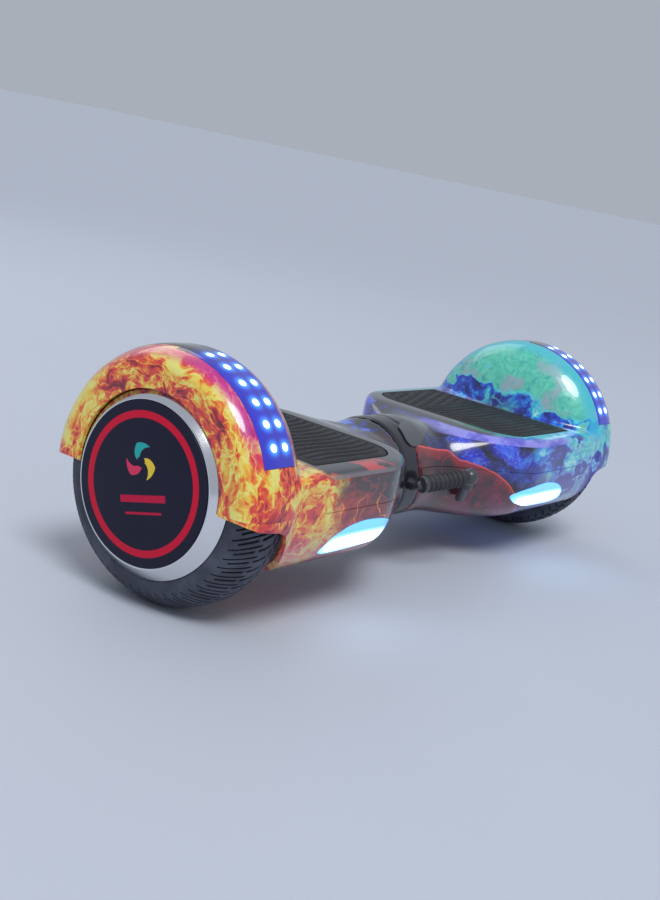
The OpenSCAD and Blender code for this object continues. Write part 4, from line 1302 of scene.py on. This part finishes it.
def handle_pieces():
    """Neck, core, rounded end and prong in one form, with a ribbed sleeve round it."""
    p0, p1 = GRIP
    along = (p1 - p0).normalized()
    toe = Vector((52, -57.6, 57.6))
    knee = (-19, -53, 74)
    body = tube("handle_bar", NECK_ROOT, knee, NECK_R, 32)
    parts = [
        ball("knuckle", knee, 3.7),
        tube("neck", knee, p0, NECK_R, 32),
        tube("shoulder", p0, p0 + along * 4, 7, 48),
        tube("core", p0, p1, 4.4, 32),
        ball("end", p1, 7),
        tube("prong", p1, toe, 4.2, 32),
        ball("boss", p1 + (toe - p1) * 0.36, 5.8),
    ]
    join(body, *parts)
    remesh(body, voxel=0.7, smooth_steps=4)
    finish_piece(body, "handle_plastic", "right_half", ["handle_frame"], hard=50)
    end = (p1 - p0).length - 5.1
    rib = ((6.1, -0.2), (6.9, 0.2), (7.2, 0.8), (7.2, 1.8), (6.9, 2.4), (6.1, 2.8))
    profile = [[4.45, 4.2], [6, 4.2]]
    for k in range(8):
        profile += [[r, 6.5 + 5 * k + s] for r, s in rib]
    profile += [[6, end], [4.45, end]]
    sleeve = spin("handle_sleeve", profile, 96, axle_z=0)
    turn = Vector((1, 0, 0)).rotation_difference(along).to_matrix().to_4x4()
    sleeve.data.transform(Matrix.Translation(p0) @ turn)
    finish_piece(sleeve, "black_rubber", "right_half", ["handle_grip"], hard=60)


def ball(name, centre, r, count=32):
    angles = np.radians(np.linspace(-90, 90, count // 2 + 1))
    profile = np.column_stack([np.maximum(r * np.cos(angles), 0), r * np.sin(angles)])
    obj = spin(name, profile, count, axle_z=0)
    obj.data.transform(Matrix.Translation(Vector(centre)))
    return obj


# ---------- what stays as it is in the CAD ----------

KEPT = {
    "cast_frame": ("frame", "axle_clamp", "rotor"),
    "circuit_board": ("gyro_board", "main_board"),
    "lamp": ("strip_lamps", "headlight_board"),
    "steel": ("axle", "stator", "magnets", "bearings", "pivot_tube"),
    "dark_steel": ("clamp_screws", "shell_screws", "pivot_clips"),
    "copper": ("windings",),
    "black_rubber": ("motor_lead", "port_cap"),
    "bush": ("pivot_bushes",),
    "battery_wrap": ("battery_pack",),
    "black_plastic": ("speaker", "power_switch"),
    "button_metal": ("power_button", "charge_port"),
}


def paint_kept():
    """Gives the CAD pieces that stay their materials."""
    look_of = {node: look for look, group in KEPT.items() for node in group}
    for node_name, obj in nodes.items():
        short = node_name.removeprefix("left_").removeprefix("right_")
        if short in look_of:
            paint(obj, LOOKS[look_of[short]])


# ---------- stage, lights and camera ----------


WORLD_POWER = 0.66
# Kind, name, place in metres, angle in degrees or width in metres, strength
LIGHTS = (
    ("SUN", "sun", (-0.7, -0.9, 1.9), 24, 1.3),
    ("AREA", "key", (-0.9, -0.9, 1.9), 0.8, 6),
    ("AREA", "back", (0.5, 1.6, 1.6), 1.2, 5),
)


def stage():
    """Floor, even backdrop and soft lights."""
    reach = 30
    corners = [(-reach, -reach, 0), (reach, -reach, 0), (reach, reach, 0), (-reach, reach, 0)]
    floor = mesh_object("floor", corners, [(0, 1, 2, 3)], smooth=False)
    look, p = new_look("pale_floor")
    look.surface(
        base_color=mix((0.55, 0.59, 0.67), (0.57, 0.61, 0.69), p.noise(400, 2)), roughness=0.6
    )
    paint(floor, look)
    world = bpy.data.worlds.new("studio")
    world.use_nodes = True
    backdrop = world.node_tree.nodes["Background"]
    backdrop.inputs["Color"].default_value = (0.6, 0.65, 0.74, 1)
    backdrop.inputs["Strength"].default_value = WORLD_POWER
    bpy.context.scene.world = world
    bpy.context.scene.view_settings.view_transform = "Standard"
    for kind, name, at, spread, power in LIGHTS:
        light = bpy.data.lights.new(name, kind)
        if kind == "SUN":
            light.angle = math.radians(spread)
        else:
            light.size = spread
        light.energy = power
        lamp = bpy.data.objects.new(name, light)
        lamp.location = at
        lamp.rotation_euler = (Vector((0, 0, 0.08)) - Vector(at)).to_track_quat("-Z", "Y").to_euler()
        bpy.context.scene.collection.objects.link(lamp)


LENS = 54.07
CAMERA_AT = (-0.95518, -0.57116, 0.32912)
CAMERA_TURN = (-57.06, -12.52, 11.46)  # yaw, pitch and roll in degrees


def camera():
    """Three-quarter view from the front left, leaning a little."""
    data = bpy.data.cameras.new("view")
    data.sensor_width = 36
    data.lens = LENS
    data.clip_start = 0.01
    cam = bpy.data.objects.new("view", data)
    yaw, pitch, roll = (math.radians(v) for v in CAMERA_TURN)
    forward = Vector((-math.sin(yaw) * math.cos(pitch), math.cos(yaw) * math.cos(pitch), math.sin(pitch)))
    right = forward.cross(Vector((0, 0, 1))).normalized()
    up = right.cross(forward)
    c, s = math.cos(roll), math.sin(roll)
    turn = Matrix((right * c + up * s, up * c - right * s, -forward)).transposed().to_4x4()
    cam.matrix_world = Matrix.Translation(CAMERA_AT) @ turn
    bpy.context.scene.collection.objects.link(cam)
    bpy.context.scene.camera = cam


camera()
stage()
paint_kept()
for side in (LEFT, RIGHT):
    casing_pieces(side)
    strip_piece(side)
    pad_piece(side)
    tyre_piece(side)
    wheel_trim(side)
collar_piece()
panel_piece()
handle_pieces()
